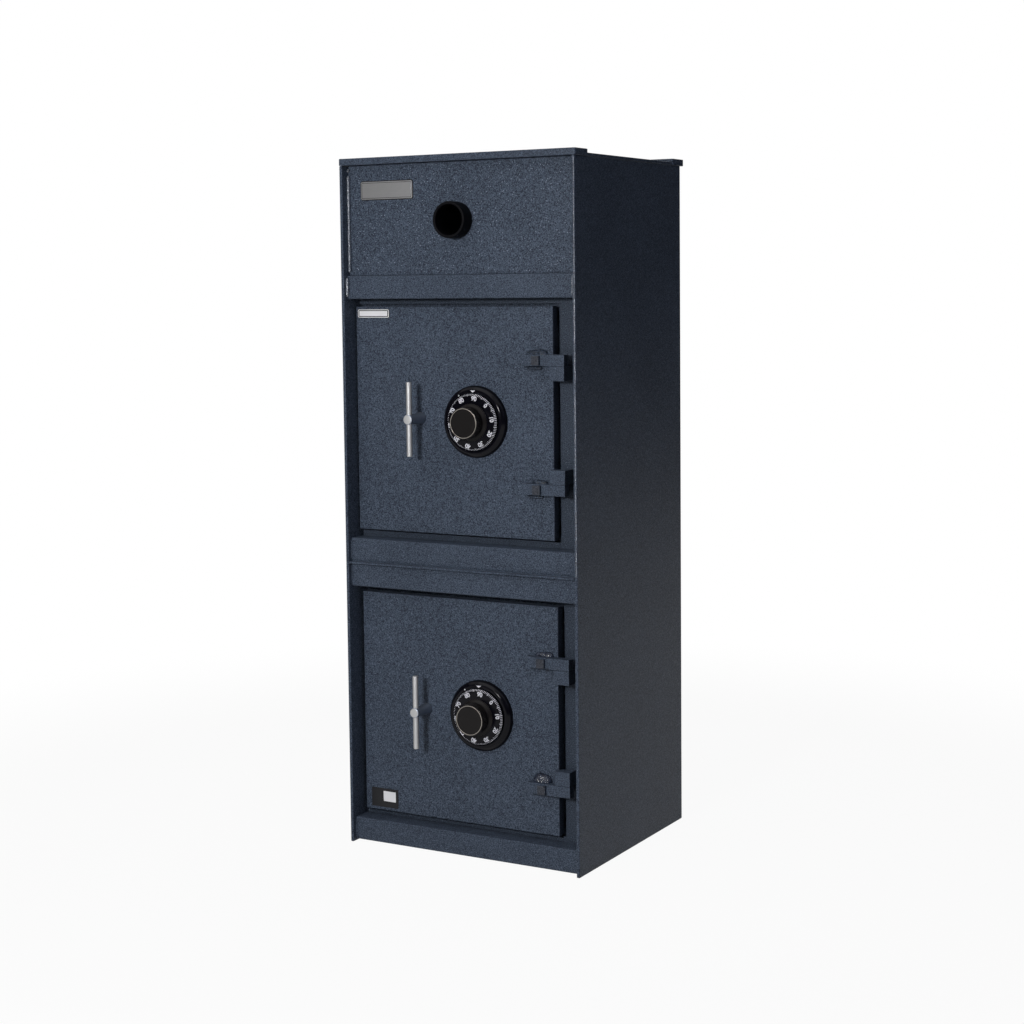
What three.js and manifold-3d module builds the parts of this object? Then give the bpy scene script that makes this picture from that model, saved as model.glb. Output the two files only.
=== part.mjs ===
// Two-door deposit safe with a round drop opening, T-handles and combination dials.
// Millimetres. +Z is up, +X is to the right of someone facing the doors, +Y runs into the cabinet.
// The pieces are laid out from the front edges of the side walls (y = 0) and the floor (z = 0).
// The last lines move the whole so that the origin is under the middle of its box.

import * as THREE from 'three';
import { mergeVertices } from 'three/addons/utils/BufferGeometryUtils.js';
import Module from 'manifold-3d';

const wasm = await Module();
wasm.setup();

// Driving dimensions: cabinet
const wall = 4.8;
const bodyDepth = 336;
const seat = 0.3; // gap between pieces that rest on or are welded to each other
const baseLift = 2.5; // bottom rail and floor plate above the ground
const floorThickness = 4.8;
const anchorHoleDiameter = 13;
const anchorHoleInset = 70;
const topPlateThickness = 4.5;
const barDepth = 38.1;
const barHeight = 9.5;
const barSideOverhang = 1.2;
const barRearOverhang = 10;
const barCornerRadius = 2.5;

// Driving dimensions: front rails, header and divider
const railRecess = 8;
const railHeight = 33.3;
const railGauge = 4;
const railBendRadius = 2;
const dividerThickness = 3.2;
const headerRecess = 15;
const headerThickness = 4.8;
const headerHeight = 155.4;

// Driving dimensions: door frames and stops
const frameThickness = 6.4;
const hingeJambWidth = 40;
const upperFrameLip = 8.2;
const lowerFrameLip = 6.7;
const stopThickness = 6;
const stopLapLeft = 13.1;
const stopLapEnds = 9;

// Driving dimensions: doors
const doorWidth = 321.3;
const doorHeight = 321.6;
const doorRecess = 26;
const doorThickness = 12.7;
const doorEdgeChamfer = 0.7;
const backPlateThickness = 6;
const backPlateInset = 1;
const doorEndClearance = 3;
const doorJambClearance = 3.5;
const upperDoorLeftClearance = 2.6;
const lowerDoorShift = 3.8; // the lower door stands this far to the right of the upper one
const upperHingeDrop = 1.1; // middle of a door's hinge pair below the middle of the door
const lowerHingeDrop = 5;
const lowerHandleDrop = 4.7; // the lower handle sits this much lower on its door
const lowerDialDrop = 2.9;

// Driving dimensions: hinges
const hingeAxisFromDoorEdge = 5.9;
const strapThickness = 12.4;
const strapHeight = 15.7;
const strapLength = 67;
const strapEndFromAxis = 17.4;
const strapStubWidth = 11.8;
const strapStubHeight = 12.6;
const strapStubProud = 4.5;
const strapStubFromEnd = 36.7;
const blockHeight = 20;
const blockStemGap = 1.9;
const knuckleGap = 0.5;
const hingeHalfSpacing = 80.6;
const hingeSlack = 0.3;
const pinDiameter = 9.5;
const pinClearance = 0.3;

// Driving dimensions: T-handle and its crank
const handleLeftOfDoorMid = 53.1;
const handleAboveDoorMid = 3;
const handleReach = 36;
const shankDiameter = 14.3;
const shankClearance = 0.5;
const shankChamfer = 0.8;
const crossbarDiameter = 8.1;
const crossbarLength = 105;
const crossbarSetback = 5.5;
const crossbarEndChamfer = 0.8;
const crankRadius = 13;
const crankThickness = 6;
const crankHubRadius = 11;
const crankEyeRadius = 8;
const crankGapToDoor = 5.7;
const spigotDiameter = 10;
const crankPinDiameter = 8;
const crankPinPlay = 0.6;

// Driving dimensions: locking bolts and their carrier
const boltDiameter = 19;
const boltBehindStop = 0.8;
const boltHalfSpacing = 84;
const boltTipGap = 4.5;
const boltTipChamfer = 1.5;
const boltFork = 12; // length of the slotted end that straddles the carrier
const carrierThickness = 6;
const carrierBarWidth = 38;
const carrierBarHalfHeight = 98;
const carrierArmMargin = 8;
const guideWebThickness = 5;
const guideFlangeMargin = 4;
const guideGauge = 4;
const guideBoreClearance = 0.5;
const guideEndMargin = 16;
const studDiameter = 10;
const studHeadDiameter = 16;
const studHeadThickness = 3;
const studHalfSpacing = 30;
const studPlay = 0.4;

// Driving dimensions: bar that hooks behind the hinge jamb
const hookBarLap = 9;
const hookBarBase = 20;
const hookBarInset = 4.5;
const hookBarStep = 1.9;
const hookBarThickness = 7;
const hookBarEndInset = 25;

// Driving dimensions: combination dial and lock
const dialRightOfDoorMid = 38;
const dialAboveDoorMid = 0.2;
const dialRingDiameter = 101.6;
const dialRingHeight = 8.2;
const dialRingBore = 81.6;
const dialRingLip = 5.5;
const dialDiameter = 80;
const dialDiscFront = 14.5; // distance from the door's face to the flat of the disc
const dialDiscThickness = 8;
const dialBevelWidth = 3.6;
const dialBevelDepth = 4;
const knobSkirtDiameter = 52;
const knobWaistDiameter = 46;
const knobFrontDiameter = 44;
const knobReach = 36;
const knobSkirtHeight = 3;
const knobEdge = 1.2;
const spindleDiameter = 8;
const spindleClearance = 1;
const lockCaseWidth = 60;
const lockCaseAboveDial = 36;
const lockCaseBelowDial = 42;
const lockCaseDepth = 26;
const lockCaseWall = 4;
const lockCoverThickness = 3;
const camDiameter = 34;
const camThickness = 4;
const camFromCover = 7;
const lockBoltWidth = 12;
const lockBoltThickness = 8;
const lockBoltLength = 17;
const lockBoltTravel = 9.5;
const lockBoltSink = 1;
const lockBoltPlay = 0.3;
const lugWidth = 5;
const lugPlay = 0.6;
const lugAboveCase = 2;
const lugArmAboveCase = 11;
const lugArmHeight = 13;

// Driving dimensions: drop opening, tube, chute and baffle
const dropLeftOfMid = 3.5;
const dropAboveHeaderEdge = 74.7;
const collarDiameter = 50.8;
const collarReach = 23;
const collarLipRadius = 2;
const dropBore = 42.4;
const tubeWall = 2.6;
const tubeHoleClearance = 0.3;
const tubeEnd = 75;
const chuteGauge = 2.4;
const chuteFrontHeight = 41; // above the header panel's lower edge
const chuteSlope = Math.tan(THREE.MathUtils.degToRad(18));
const chuteEnd = 210;
const chuteFlange = 16;
const chuteLip = 20;
const baffleSetback = 150;
const baffleGauge = 3;
const baffleGap = 44;
const toothPitch = 18;
const toothDepth = 12;

const roundSides = 32;
const fineSides = 48;

// Worked out from the driving dimensions
const bodyWidth = 2 * wall + upperDoorLeftClearance + doorWidth + doorJambClearance + hingeJambWidth;
const innerHalf = bodyWidth / 2 - wall;
const fitHalf = innerHalf - seat;
const frameRecess = doorRecess + doorThickness;
const frameBack = frameRecess + frameThickness;
const doorBack = frameRecess + seat + backPlateThickness;
const stopFront = frameBack + seat;
const stopBack = stopFront + stopThickness;
const onDoorBack = doorBack + seat;
const bottomRailTop = baseLift + railHeight;
const bayHeight = (lip) => doorHeight + 2 * doorEndClearance + 2 * lip;
const middleLowerRailBottom = bottomRailTop + bayHeight(lowerFrameLip);
const dividerBottom = middleLowerRailBottom + railHeight + seat;
const dividerTop = dividerBottom + dividerThickness;
const middleUpperRailTop = dividerTop + seat + railHeight;
const headerRailBottom = middleUpperRailTop + bayHeight(upperFrameLip);
const headerRailTop = headerRailBottom + railHeight;
const headerBottom = headerRailTop + seat;
const bodyHeight = headerBottom + headerHeight;
const roofBottom = bodyHeight + seat;
const headerBack = headerRecess + headerThickness;
const boltCentre = stopBack + boltBehindStop + boltDiameter / 2;
const carrierFront = boltCentre - carrierThickness / 2;
const carrierBack = boltCentre + carrierThickness / 2;
const boltThrow = Math.SQRT2 * crankRadius;
const hingeAxisY = doorRecess - seat - strapThickness / 2;
const dropHeight = headerBottom + dropAboveHeaderEdge;
const tubeRadius = dropBore / 2 + tubeWall;

const doors = [
  {
    name: 'upper',
    bayFloor: dividerTop + seat,
    bayRoof: headerRailTop,
    middle: middleUpperRailTop + bayHeight(upperFrameLip) / 2,
    left: -innerHalf + upperDoorLeftClearance,
    hingeDrop: upperHingeDrop,
    handleDrop: 0,
    dialDrop: 0,
  },
  {
    name: 'lower',
    bayFloor: baseLift,
    bayRoof: dividerBottom - seat,
    middle: bottomRailTop + bayHeight(lowerFrameLip) / 2,
    left: -innerHalf + upperDoorLeftClearance + lowerDoorShift,
    hingeDrop: lowerHingeDrop,
    handleDrop: lowerHandleDrop,
    dialDrop: lowerDialDrop,
  },
];

// Materials
const cabinetPaint = new THREE.MeshStandardMaterial({ color: 0x4b535c, roughness: 0.72, metalness: 0.1 });
const blackPlastic = new THREE.MeshStandardMaterial({ color: 0x15161a, roughness: 0.4, metalness: 0 });
const dialBlack = new THREE.MeshStandardMaterial({ color: 0x101114, roughness: 0.3, metalness: 0 });
const stainless = new THREE.MeshStandardMaterial({ color: 0xc9c7c0, roughness: 0.3, metalness: 1 });
const brightSteel = new THREE.MeshStandardMaterial({ color: 0xa9abad, roughness: 0.4, metalness: 1 });
const zincPlate = new THREE.MeshStandardMaterial({ color: 0xb6b4a6, roughness: 0.45, metalness: 1 });
const lockBrass = new THREE.MeshStandardMaterial({ color: 0xb59a57, roughness: 0.4, metalness: 1 });

const safe = new THREE.Group();

// Adds one named mesh to a group.
function addPiece(group, name, geometry, material) {
  const mesh = new THREE.Mesh(geometry, material);
  mesh.name = name;
  group.add(mesh);
  return mesh;
}

// Boolean work: a closed geometry becomes a solid, and a solid a geometry.
function toSolid(geometry) {
  const bare = geometry.clone();
  bare.deleteAttribute('normal');
  bare.deleteAttribute('uv');
  const merged = mergeVertices(bare, 1e-4);
  return new wasm.Manifold(
    new wasm.Mesh({
      numProp: 3,
      vertProperties: new Float32Array(merged.attributes.position.array),
      triVerts: new Uint32Array(merged.index.array),
    }),
  );
}

function toGeometry(solid) {
  const mesh = solid.getMesh();
  const geometry = new THREE.BufferGeometry();
  geometry.setAttribute('position', new THREE.BufferAttribute(mesh.vertProperties, 3));
  geometry.setIndex(new THREE.BufferAttribute(mesh.triVerts, 1));
  geometry.computeVertexNormals();
  return geometry;
}

function cut(base, ...tools) {
  return toGeometry(tools.reduce((solid, tool) => solid.subtract(toSolid(tool)), toSolid(base)));
}

function join(...pieces) {
  const [first, ...rest] = pieces.map(toSolid);
  return toGeometry(rest.reduce((solid, piece) => solid.add(piece), first));
}

// A box between two limits on each axis.
function block([x0, x1], [y0, y1], [z0, z1]) {
  const box = new THREE.BoxGeometry(x1 - x0, y1 - y0, z1 - z0);
  return box.translate((x0 + x1) / 2, (y0 + y1) / 2, (z0 + z1) / 2);
}

// A closed outline through the points given.
function outline(points) {
  return new THREE.Shape(points.map(([u, v]) => new THREE.Vector2(u, v)));
}

function rectangle(u0, u1, v0, v1) {
  return outline([[u0, v0], [u1, v0], [u1, v1], [u0, v1]]);
}

function roundedRectangle(u0, u1, v0, v1, radius) {
  const shape = new THREE.Shape();
  shape.moveTo(u0 + radius, v0);
  shape.lineTo(u1 - radius, v0);
  shape.absarc(u1 - radius, v0 + radius, radius, -Math.PI / 2, 0, false);
  shape.lineTo(u1, v1 - radius);
  shape.absarc(u1 - radius, v1 - radius, radius, 0, Math.PI / 2, false);
  shape.lineTo(u0 + radius, v1);
  shape.absarc(u0 + radius, v1 - radius, radius, Math.PI / 2, Math.PI, false);
  shape.lineTo(u0, v0 + radius);
  shape.absarc(u0 + radius, v0 + radius, radius, Math.PI, 1.5 * Math.PI, false);
  return shape;
}

function roundHole(u, v, radius) {
  const hole = new THREE.Path();
  hole.absarc(u, v, radius, 0, 2 * Math.PI, true);
  return hole;
}

// A slot with round ends between two centres on one level line.
function slotHole(u0, u1, v, radius) {
  const hole = new THREE.Path();
  hole.absarc(u1, v, radius, Math.PI / 2, -Math.PI / 2, true);
  hole.absarc(u0, v, radius, -Math.PI / 2, -1.5 * Math.PI, true);
  return hole;
}

// A plate whose outline is drawn in X and Z, between two depths.
function frontPlate(shape, y0, y1, options = {}) {
  const chamfer = options.chamfer ?? 0;
  const geometry = new THREE.ExtrudeGeometry(shape, {
    depth: y1 - y0 - 2 * chamfer,
    bevelEnabled: chamfer > 0,
    bevelThickness: chamfer,
    bevelSize: chamfer,
    bevelOffset: -chamfer,
    bevelSegments: 1,
    curveSegments: options.sides ?? roundSides / 2,
  });
  return geometry.rotateX(Math.PI / 2).translate(0, y1 - chamfer, 0);
}

// A bar whose section is drawn in Y and Z, between two places along X.
function barAlongX(shape, x0, x1) {
  const geometry = new THREE.ExtrudeGeometry(shape, { depth: x1 - x0, bevelEnabled: false, curveSegments: 3 });
  const basis = new THREE.Matrix4().makeBasis(
    new THREE.Vector3(0, 1, 0),
    new THREE.Vector3(0, 0, 1),
    new THREE.Vector3(1, 0, 0),
  );
  return geometry.applyMatrix4(basis).translate(x0, 0, 0);
}

// A bar whose plan is drawn in X and Y, between two heights.
function barUpright(shape, z0, z1) {
  const geometry = new THREE.ExtrudeGeometry(shape, { depth: z1 - z0, bevelEnabled: false, curveSegments: 4 });
  return geometry.translate(0, 0, z0);
}

// A turned piece about the Y direction: each point is a radius and a depth, deepest last, and the
// profile is closed from the last point to the first.
function turned(profile, sides = roundSides) {
  const points = [...profile, profile[0]].map(([radius, depth]) => new THREE.Vector2(radius, depth));
  return new THREE.LatheGeometry(points, sides);
}

// A turned solid piece whose profile starts and ends on the axis.
function turnedSolid(profile, sides = roundSides) {
  return new THREE.LatheGeometry(profile.map(([radius, depth]) => new THREE.Vector2(radius, depth)), sides);
}

function rod(radius, length, chamfer = 0, sides = roundSides) {
  const profile = chamfer > 0
    ? [[0, 0], [radius - chamfer, 0], [radius, chamfer], [radius, length - chamfer], [radius - chamfer, length], [0, length]]
    : [[0, 0], [radius, 0], [radius, length], [0, length]];
  return turnedSolid(profile, sides);
}

// A channel section, web to the front and flanges to the rear, with rounded outer bends.
function channelSection(front, rear, bottom, height) {
  const top = bottom + height;
  const bend = railBendRadius;
  const shape = new THREE.Shape();
  shape.moveTo(rear, bottom);
  shape.lineTo(front + bend, bottom);
  shape.absarc(front + bend, bottom + bend, bend, -Math.PI / 2, -Math.PI, true);
  shape.lineTo(front, top - bend);
  shape.absarc(front + bend, top - bend, bend, Math.PI, Math.PI / 2, true);
  shape.lineTo(rear, top);
  shape.lineTo(rear, top - railGauge);
  shape.lineTo(front + railGauge, top - railGauge);
  shape.lineTo(front + railGauge, bottom + railGauge);
  shape.lineTo(rear, bottom + railGauge);
  return shape;
}

// A folded sheet: the line given is one face, and the other face lies one gauge to its left,
// with mitred corners.
function foldedSheet(line, gauge) {
  const points = line.map(([u, v]) => new THREE.Vector2(u, v));
  const normals = points.slice(1).map((point, i) => {
    const run = point.clone().sub(points[i]).normalize();
    return new THREE.Vector2(-run.y, run.x);
  });
  const offset = points.map((point, i) => {
    const before = normals[Math.max(i - 1, 0)];
    const after = normals[Math.min(i, normals.length - 1)];
    const mitre = before.clone().add(after).normalize();
    return point.clone().addScaledVector(mitre, gauge / mitre.dot(after));
  });
  return new THREE.Shape([...points, ...offset.reverse()]);
}

// The outline of a lever: a large eye at the origin and a smaller one at a distance and angle.
function leverOutline(hubRadius, eyeRadius, distance, angle) {
  const spread = Math.acos((hubRadius - eyeRadius) / distance);
  const shape = new THREE.Shape();
  shape.absarc(0, 0, hubRadius, angle + spread, angle - spread + 2 * Math.PI, false);
  shape.absarc(distance * Math.cos(angle), distance * Math.sin(angle), eyeRadius, angle - spread, angle + spread, false);
  return shape;
}

// Cabinet shell: side walls, back, floor with anchor holes, roof plate and the two bars on it.
function addShell() {
  for (const [name, side] of [['left_side_wall', -1], ['right_side_wall', 1]]) {
    const limits = [side * innerHalf, side * (innerHalf + wall)].sort((a, b) => a - b);
    addPiece(safe, name, block(limits, [0, bodyDepth], [0, bodyHeight]), cabinetPaint);
  }
  addPiece(safe, 'back_panel', block([-fitHalf, fitHalf], [bodyDepth - wall, bodyDepth], [0, bodyHeight]), cabinetPaint);

  const floorFront = stopBack + seat;
  const floorRear = bodyDepth - wall - seat;
  const floor = rectangle(-fitHalf, fitHalf, floorFront, floorRear);
  for (const x of [-fitHalf + anchorHoleInset, fitHalf - anchorHoleInset]) {
    for (const y of [floorFront + anchorHoleInset, floorRear - anchorHoleInset]) {
      floor.holes.push(roundHole(x, y, anchorHoleDiameter / 2));
    }
  }
  addPiece(safe, 'floor_plate', barUpright(floor, baseLift, baseLift + floorThickness), cabinetPaint);

  const barHalf = bodyWidth / 2 + barSideOverhang;
  const rearBarBack = bodyDepth + barRearOverhang;
  const frontBar = roundedRectangle(-barHalf, barHalf, 0, barDepth, barCornerRadius);
  const rearBar = roundedRectangle(-barHalf, barHalf, rearBarBack - barDepth, rearBarBack, barCornerRadius);
  addPiece(safe, 'front_top_bar', barUpright(frontBar, roofBottom, roofBottom + barHeight), cabinetPaint);
  addPiece(safe, 'rear_top_bar', barUpright(rearBar, roofBottom, roofBottom + barHeight), cabinetPaint);
  const roofDepth = [barDepth + seat, rearBarBack - barDepth - seat];
  addPiece(
    safe,
    'top_plate',
    block([-bodyWidth / 2, bodyWidth / 2], roofDepth, [roofBottom, roofBottom + topPlateThickness]),
    cabinetPaint,
  );
}

// Front: channel rails, divider plate and header panel with the hole for the drop tube.
function addFront() {
  const rails = {
    bottom_rail: baseLift,
    middle_rail_lower: middleLowerRailBottom,
    middle_rail_upper: dividerTop + seat,
    header_rail: headerRailBottom,
  };
  for (const [name, bottom] of Object.entries(rails)) {
    const section = channelSection(railRecess, frameRecess - seat, bottom, railHeight);
    addPiece(safe, name, barAlongX(section, -fitHalf, fitHalf), cabinetPaint);
  }
  addPiece(
    safe,
    'divider_plate',
    block([-fitHalf, fitHalf], [0, bodyDepth - wall - seat], [dividerBottom, dividerTop]),
    cabinetPaint,
  );
  const panel = rectangle(-fitHalf, fitHalf, headerBottom, bodyHeight);
  panel.holes.push(roundHole(-dropLeftOfMid, dropHeight, tubeRadius + tubeHoleClearance));
  addPiece(safe, 'header_panel', frontPlate(panel, headerRecess, headerBack), cabinetPaint);
}


// Drop opening: a tube with a collar in front of the header panel, a sloping chute behind it and a
// toothed baffle against fishing.
function addDrop() {
  const bore = dropBore / 2;
  const outer = collarDiameter / 2;
  const front = headerRecess - collarReach;
  const rear = headerRecess - seat;
  const lip = collarLipRadius;
  const tube = turned([
    [bore + lip / 2, front],
    [outer - lip, front],
    [outer - lip * 0.3, front + lip * 0.3],
    [outer, front + lip],
    [outer, rear],
    [tubeRadius, rear],
    [tubeRadius, tubeEnd],
    [bore, tubeEnd],
    [bore, front + lip / 2],
  ], fineSides);
  addPiece(safe, 'drop_tube', tube.translate(-dropLeftOfMid, 0, dropHeight), blackPlastic);

  const chuteFront = headerBack + seat;
  const chuteTop = headerBottom + chuteFrontHeight;
  const chuteRearHeight = chuteTop - chuteSlope * (chuteEnd - chuteFront);
  const chute = foldedSheet([
    [chuteEnd, chuteRearHeight - chuteLip],
    [chuteEnd, chuteRearHeight],
    [chuteFront, chuteTop],
    [chuteFront, chuteTop - chuteFlange],
  ], chuteGauge);
  addPiece(safe, 'drop_chute', barAlongX(chute, -fitHalf, fitHalf), cabinetPaint);

  const baffleBottom = chuteTop - chuteSlope * (baffleSetback - chuteFront) + baffleGap;
  const teeth = Math.floor((2 * fitHalf) / toothPitch);
  const pitch = (2 * fitHalf) / teeth;
  const edge = [];
  for (let i = 0; i < teeth; i += 1) {
    edge.push([-fitHalf + i * pitch, baffleBottom + toothDepth]);
    edge.push([-fitHalf + (i + 0.5) * pitch, baffleBottom]);
  }
  const baffle = outline([...edge, [fitHalf, baffleBottom + toothDepth], [fitHalf, bodyHeight], [-fitHalf, bodyHeight]]);
  addPiece(safe, 'toothed_baffle', frontPlate(baffle, baffleSetback, baffleSetback + baffleGauge), cabinetPaint);
}

// Door frame: a plate open to the left wall, so that the wall is the fourth side of the opening.
// The stop behind it is open to the hinge side.
function addFrame(door) {
  const openTop = door.middle + doorHeight / 2 + doorEndClearance;
  const openBottom = door.middle - doorHeight / 2 - doorEndClearance;
  const openRight = door.left + doorWidth + doorJambClearance;
  const frame = outline([
    [-fitHalf, door.bayFloor],
    [fitHalf, door.bayFloor],
    [fitHalf, door.bayRoof],
    [-fitHalf, door.bayRoof],
    [-fitHalf, openTop],
    [openRight, openTop],
    [openRight, openBottom],
    [-fitHalf, openBottom],
  ]);
  addPiece(safe, `${door.name}_door_frame`, frontPlate(frame, frameRecess, frameBack), cabinetPaint);

  const stopTop = door.middle + doorHeight / 2 - stopLapEnds;
  const stopBottom = door.middle - doorHeight / 2 + stopLapEnds;
  const stopLeft = door.left + stopLapLeft;
  const stop = outline([
    [-fitHalf, door.bayFloor],
    [fitHalf, door.bayFloor],
    [fitHalf, stopBottom],
    [stopLeft, stopBottom],
    [stopLeft, stopTop],
    [fitHalf, stopTop],
    [fitHalf, door.bayRoof],
    [-fitHalf, door.bayRoof],
  ]);
  addPiece(safe, `${door.name}_door_stop`, frontPlate(stop, stopFront, stopBack), cabinetPaint);
}

// The two hinges of a door: the plane where strap and block meet, and the way the strap lies from
// it. The straps are outermost, so the blocks hold the door in height.
function hingesOf(door) {
  const middle = door.middle - door.hingeDrop;
  return [
    { end: 'top', plane: middle + hingeHalfSpacing, way: 1 },
    { end: 'bottom', plane: middle - hingeHalfSpacing, way: -1 },
  ];
}

function hingeAxisX(door) {
  return door.left + doorWidth + hingeAxisFromDoorEdge;
}

function uprightRod(x, y, radius, [z0, z1]) {
  return rod(radius, z1 - z0).rotateX(Math.PI / 2).translate(x, y, z0);
}

// Limits of height from a plane, either way from it.
function heights(plane, way, from, to) {
  return [plane + way * from, plane + way * to].sort((a, b) => a - b);
}

// Frame side of a hinge: a block on the jamb, rounded about the axis where the door's edge swings
// past it, with the pin standing in it.
function addHingeBlocks(door) {
  const axisX = hingeAxisX(door);
  const half = strapThickness / 2;
  const edgeReach = doorRecess - hingeAxisY;
  const knuckle = Math.hypot(hingeAxisFromDoorEdge, edgeReach) - knuckleGap;
  const stem = hingeAxisFromDoorEdge - blockStemGap;
  const plan = new THREE.Shape();
  plan.moveTo(-stem, frameRecess - seat - hingeAxisY);
  plan.absarc(0, 0, knuckle, Math.PI - Math.acos(stem / knuckle), Math.PI + Math.asin(half / knuckle), false);
  plan.lineTo(strapEndFromAxis, -half);
  plan.lineTo(strapEndFromAxis, frameRecess - seat - hingeAxisY);
  for (const { end, plane, way } of hingesOf(door)) {
    const [low, high] = heights(plane, -way, hingeSlack / 2, blockHeight);
    const body = barUpright(plan, low, high).translate(axisX, hingeAxisY, 0);
    const pin = uprightRod(axisX, hingeAxisY, pinDiameter / 2, heights(plane, way, -blockHeight / 2, strapHeight));
    addPiece(safe, `${door.name}_hinge_block_${end}`, join(body, pin), cabinetPaint);
  }
}

// Door side of a hinge: a thick strap welded to the door's face and bored for the pin, with a
// square stub standing proud of its front.
function addHingeStraps(door, group, middleX) {
  const right = hingeAxisX(door) - middleX + strapEndFromAxis;
  const depths = [doorRecess - seat - strapThickness, doorRecess - seat];
  for (const { end, plane, way } of hingesOf(door)) {
    const [low, high] = heights(plane - door.middle, way, hingeSlack / 2, strapHeight);
    const stubRight = right - strapStubFromEnd;
    const margin = (high - low - strapStubHeight) / 2;
    const stub = block(
      [stubRight - strapStubWidth, stubRight],
      [depths[0] - strapStubProud, depths[0] + 1],
      [low + margin, high - margin],
    );
    const bore = uprightRod(right - strapEndFromAxis, hingeAxisY, pinDiameter / 2 + pinClearance, [low - 1, high + 1]);
    const strap = cut(join(block([right - strapLength, right], depths, [low, high]), stub), bore);
    addPiece(group, `${door.name}_hinge_strap_${end}`, strap, cabinetPaint);
  }
}

// Door leaf: outer plate, inner plate and the bar that hooks behind the hinge jamb.
// Places on a door are measured from its middle.
function addDoorLeaf(door, group, places) {
  const holeFor = (place, radius) => roundHole(place.x, place.z, radius);
  const shankHole = shankDiameter / 2 + shankClearance;
  const spindleHole = spindleDiameter / 2 + spindleClearance;

  const outer = rectangle(-doorWidth / 2, doorWidth / 2, -doorHeight / 2, doorHeight / 2);
  outer.holes.push(holeFor(places.handle, shankHole), holeFor(places.dial, spindleHole));
  const plate = frontPlate(outer, doorRecess, frameRecess, { chamfer: doorEdgeChamfer });
  addPiece(group, `${door.name}_door_plate`, plate, cabinetPaint);

  const halfWidth = doorWidth / 2 - backPlateInset;
  const halfHeight = doorHeight / 2 - backPlateInset;
  const inner = rectangle(-halfWidth, halfWidth, -halfHeight, halfHeight);
  inner.holes.push(holeFor(places.handle, shankHole), holeFor(places.dial, spindleHole));
  addPiece(group, `${door.name}_inner_plate`, frontPlate(inner, frameRecess + seat, doorBack), cabinetPaint);

  const edge = doorWidth / 2;
  const step = onDoorBack + hookBarStep;
  const hook = outline([
    [edge - hookBarInset - hookBarBase, onDoorBack],
    [edge - hookBarInset, onDoorBack],
    [edge - hookBarInset, step],
    [edge + hookBarLap, step],
    [edge + hookBarLap, step + hookBarThickness],
    [edge - hookBarInset - hookBarBase, step + hookBarThickness],
  ]);
  const barHalf = doorHeight / 2 - hookBarEndInset;
  addPiece(group, `${door.name}_jamb_hook_bar`, barUpright(hook, -barHalf, barHalf), cabinetPaint);
}

// T-handle: a shank through the door, a crossbar through the shank and a crank on its inner end.
function addHandle(door, group, place) {
  const handle = new THREE.Group();
  handle.position.set(place.x, 0, place.z);
  group.add(handle);

  const front = doorRecess - handleReach;
  const crankFront = onDoorBack + crankGapToDoor;
  const crankBack = crankFront + crankThickness;
  const radius = shankDiameter / 2;
  const shank = turnedSolid([
    [0, front],
    [radius - shankChamfer, front],
    [radius, front + shankChamfer],
    [radius, crankFront - seat],
    [spigotDiameter / 2, crankFront - seat],
    [spigotDiameter / 2, crankBack],
    [0, crankBack],
  ]);
  const barDepthLine = front + crossbarSetback;
  const crossHole = rod(crossbarDiameter / 2 + seat, shankDiameter + 2).rotateX(Math.PI / 2)
    .translate(0, barDepthLine, -shankDiameter / 2 - 1);
  addPiece(handle, `${door.name}_handle_shank`, cut(shank, crossHole), stainless);

  const crossbar = rod(crossbarDiameter / 2, crossbarLength, crossbarEndChamfer).rotateX(Math.PI / 2)
    .translate(0, barDepthLine, -crossbarLength / 2);
  addPiece(handle, `${door.name}_handle_crossbar`, crossbar, stainless);

  const lever = leverOutline(crankHubRadius, crankEyeRadius, crankRadius, -Math.PI / 4);
  lever.holes.push(roundHole(0, 0, spigotDiameter / 2 + seat));
  const reach = crankRadius * Math.SQRT1_2;
  const pin = rod(crankPinDiameter / 2, carrierBack + crankPinPlay * 2 - crankFront).translate(reach, crankFront, -reach);
  addPiece(handle, `${door.name}_handle_crank`, join(frontPlate(lever, crankFront, crankBack), pin), zincPlate);
}

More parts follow.
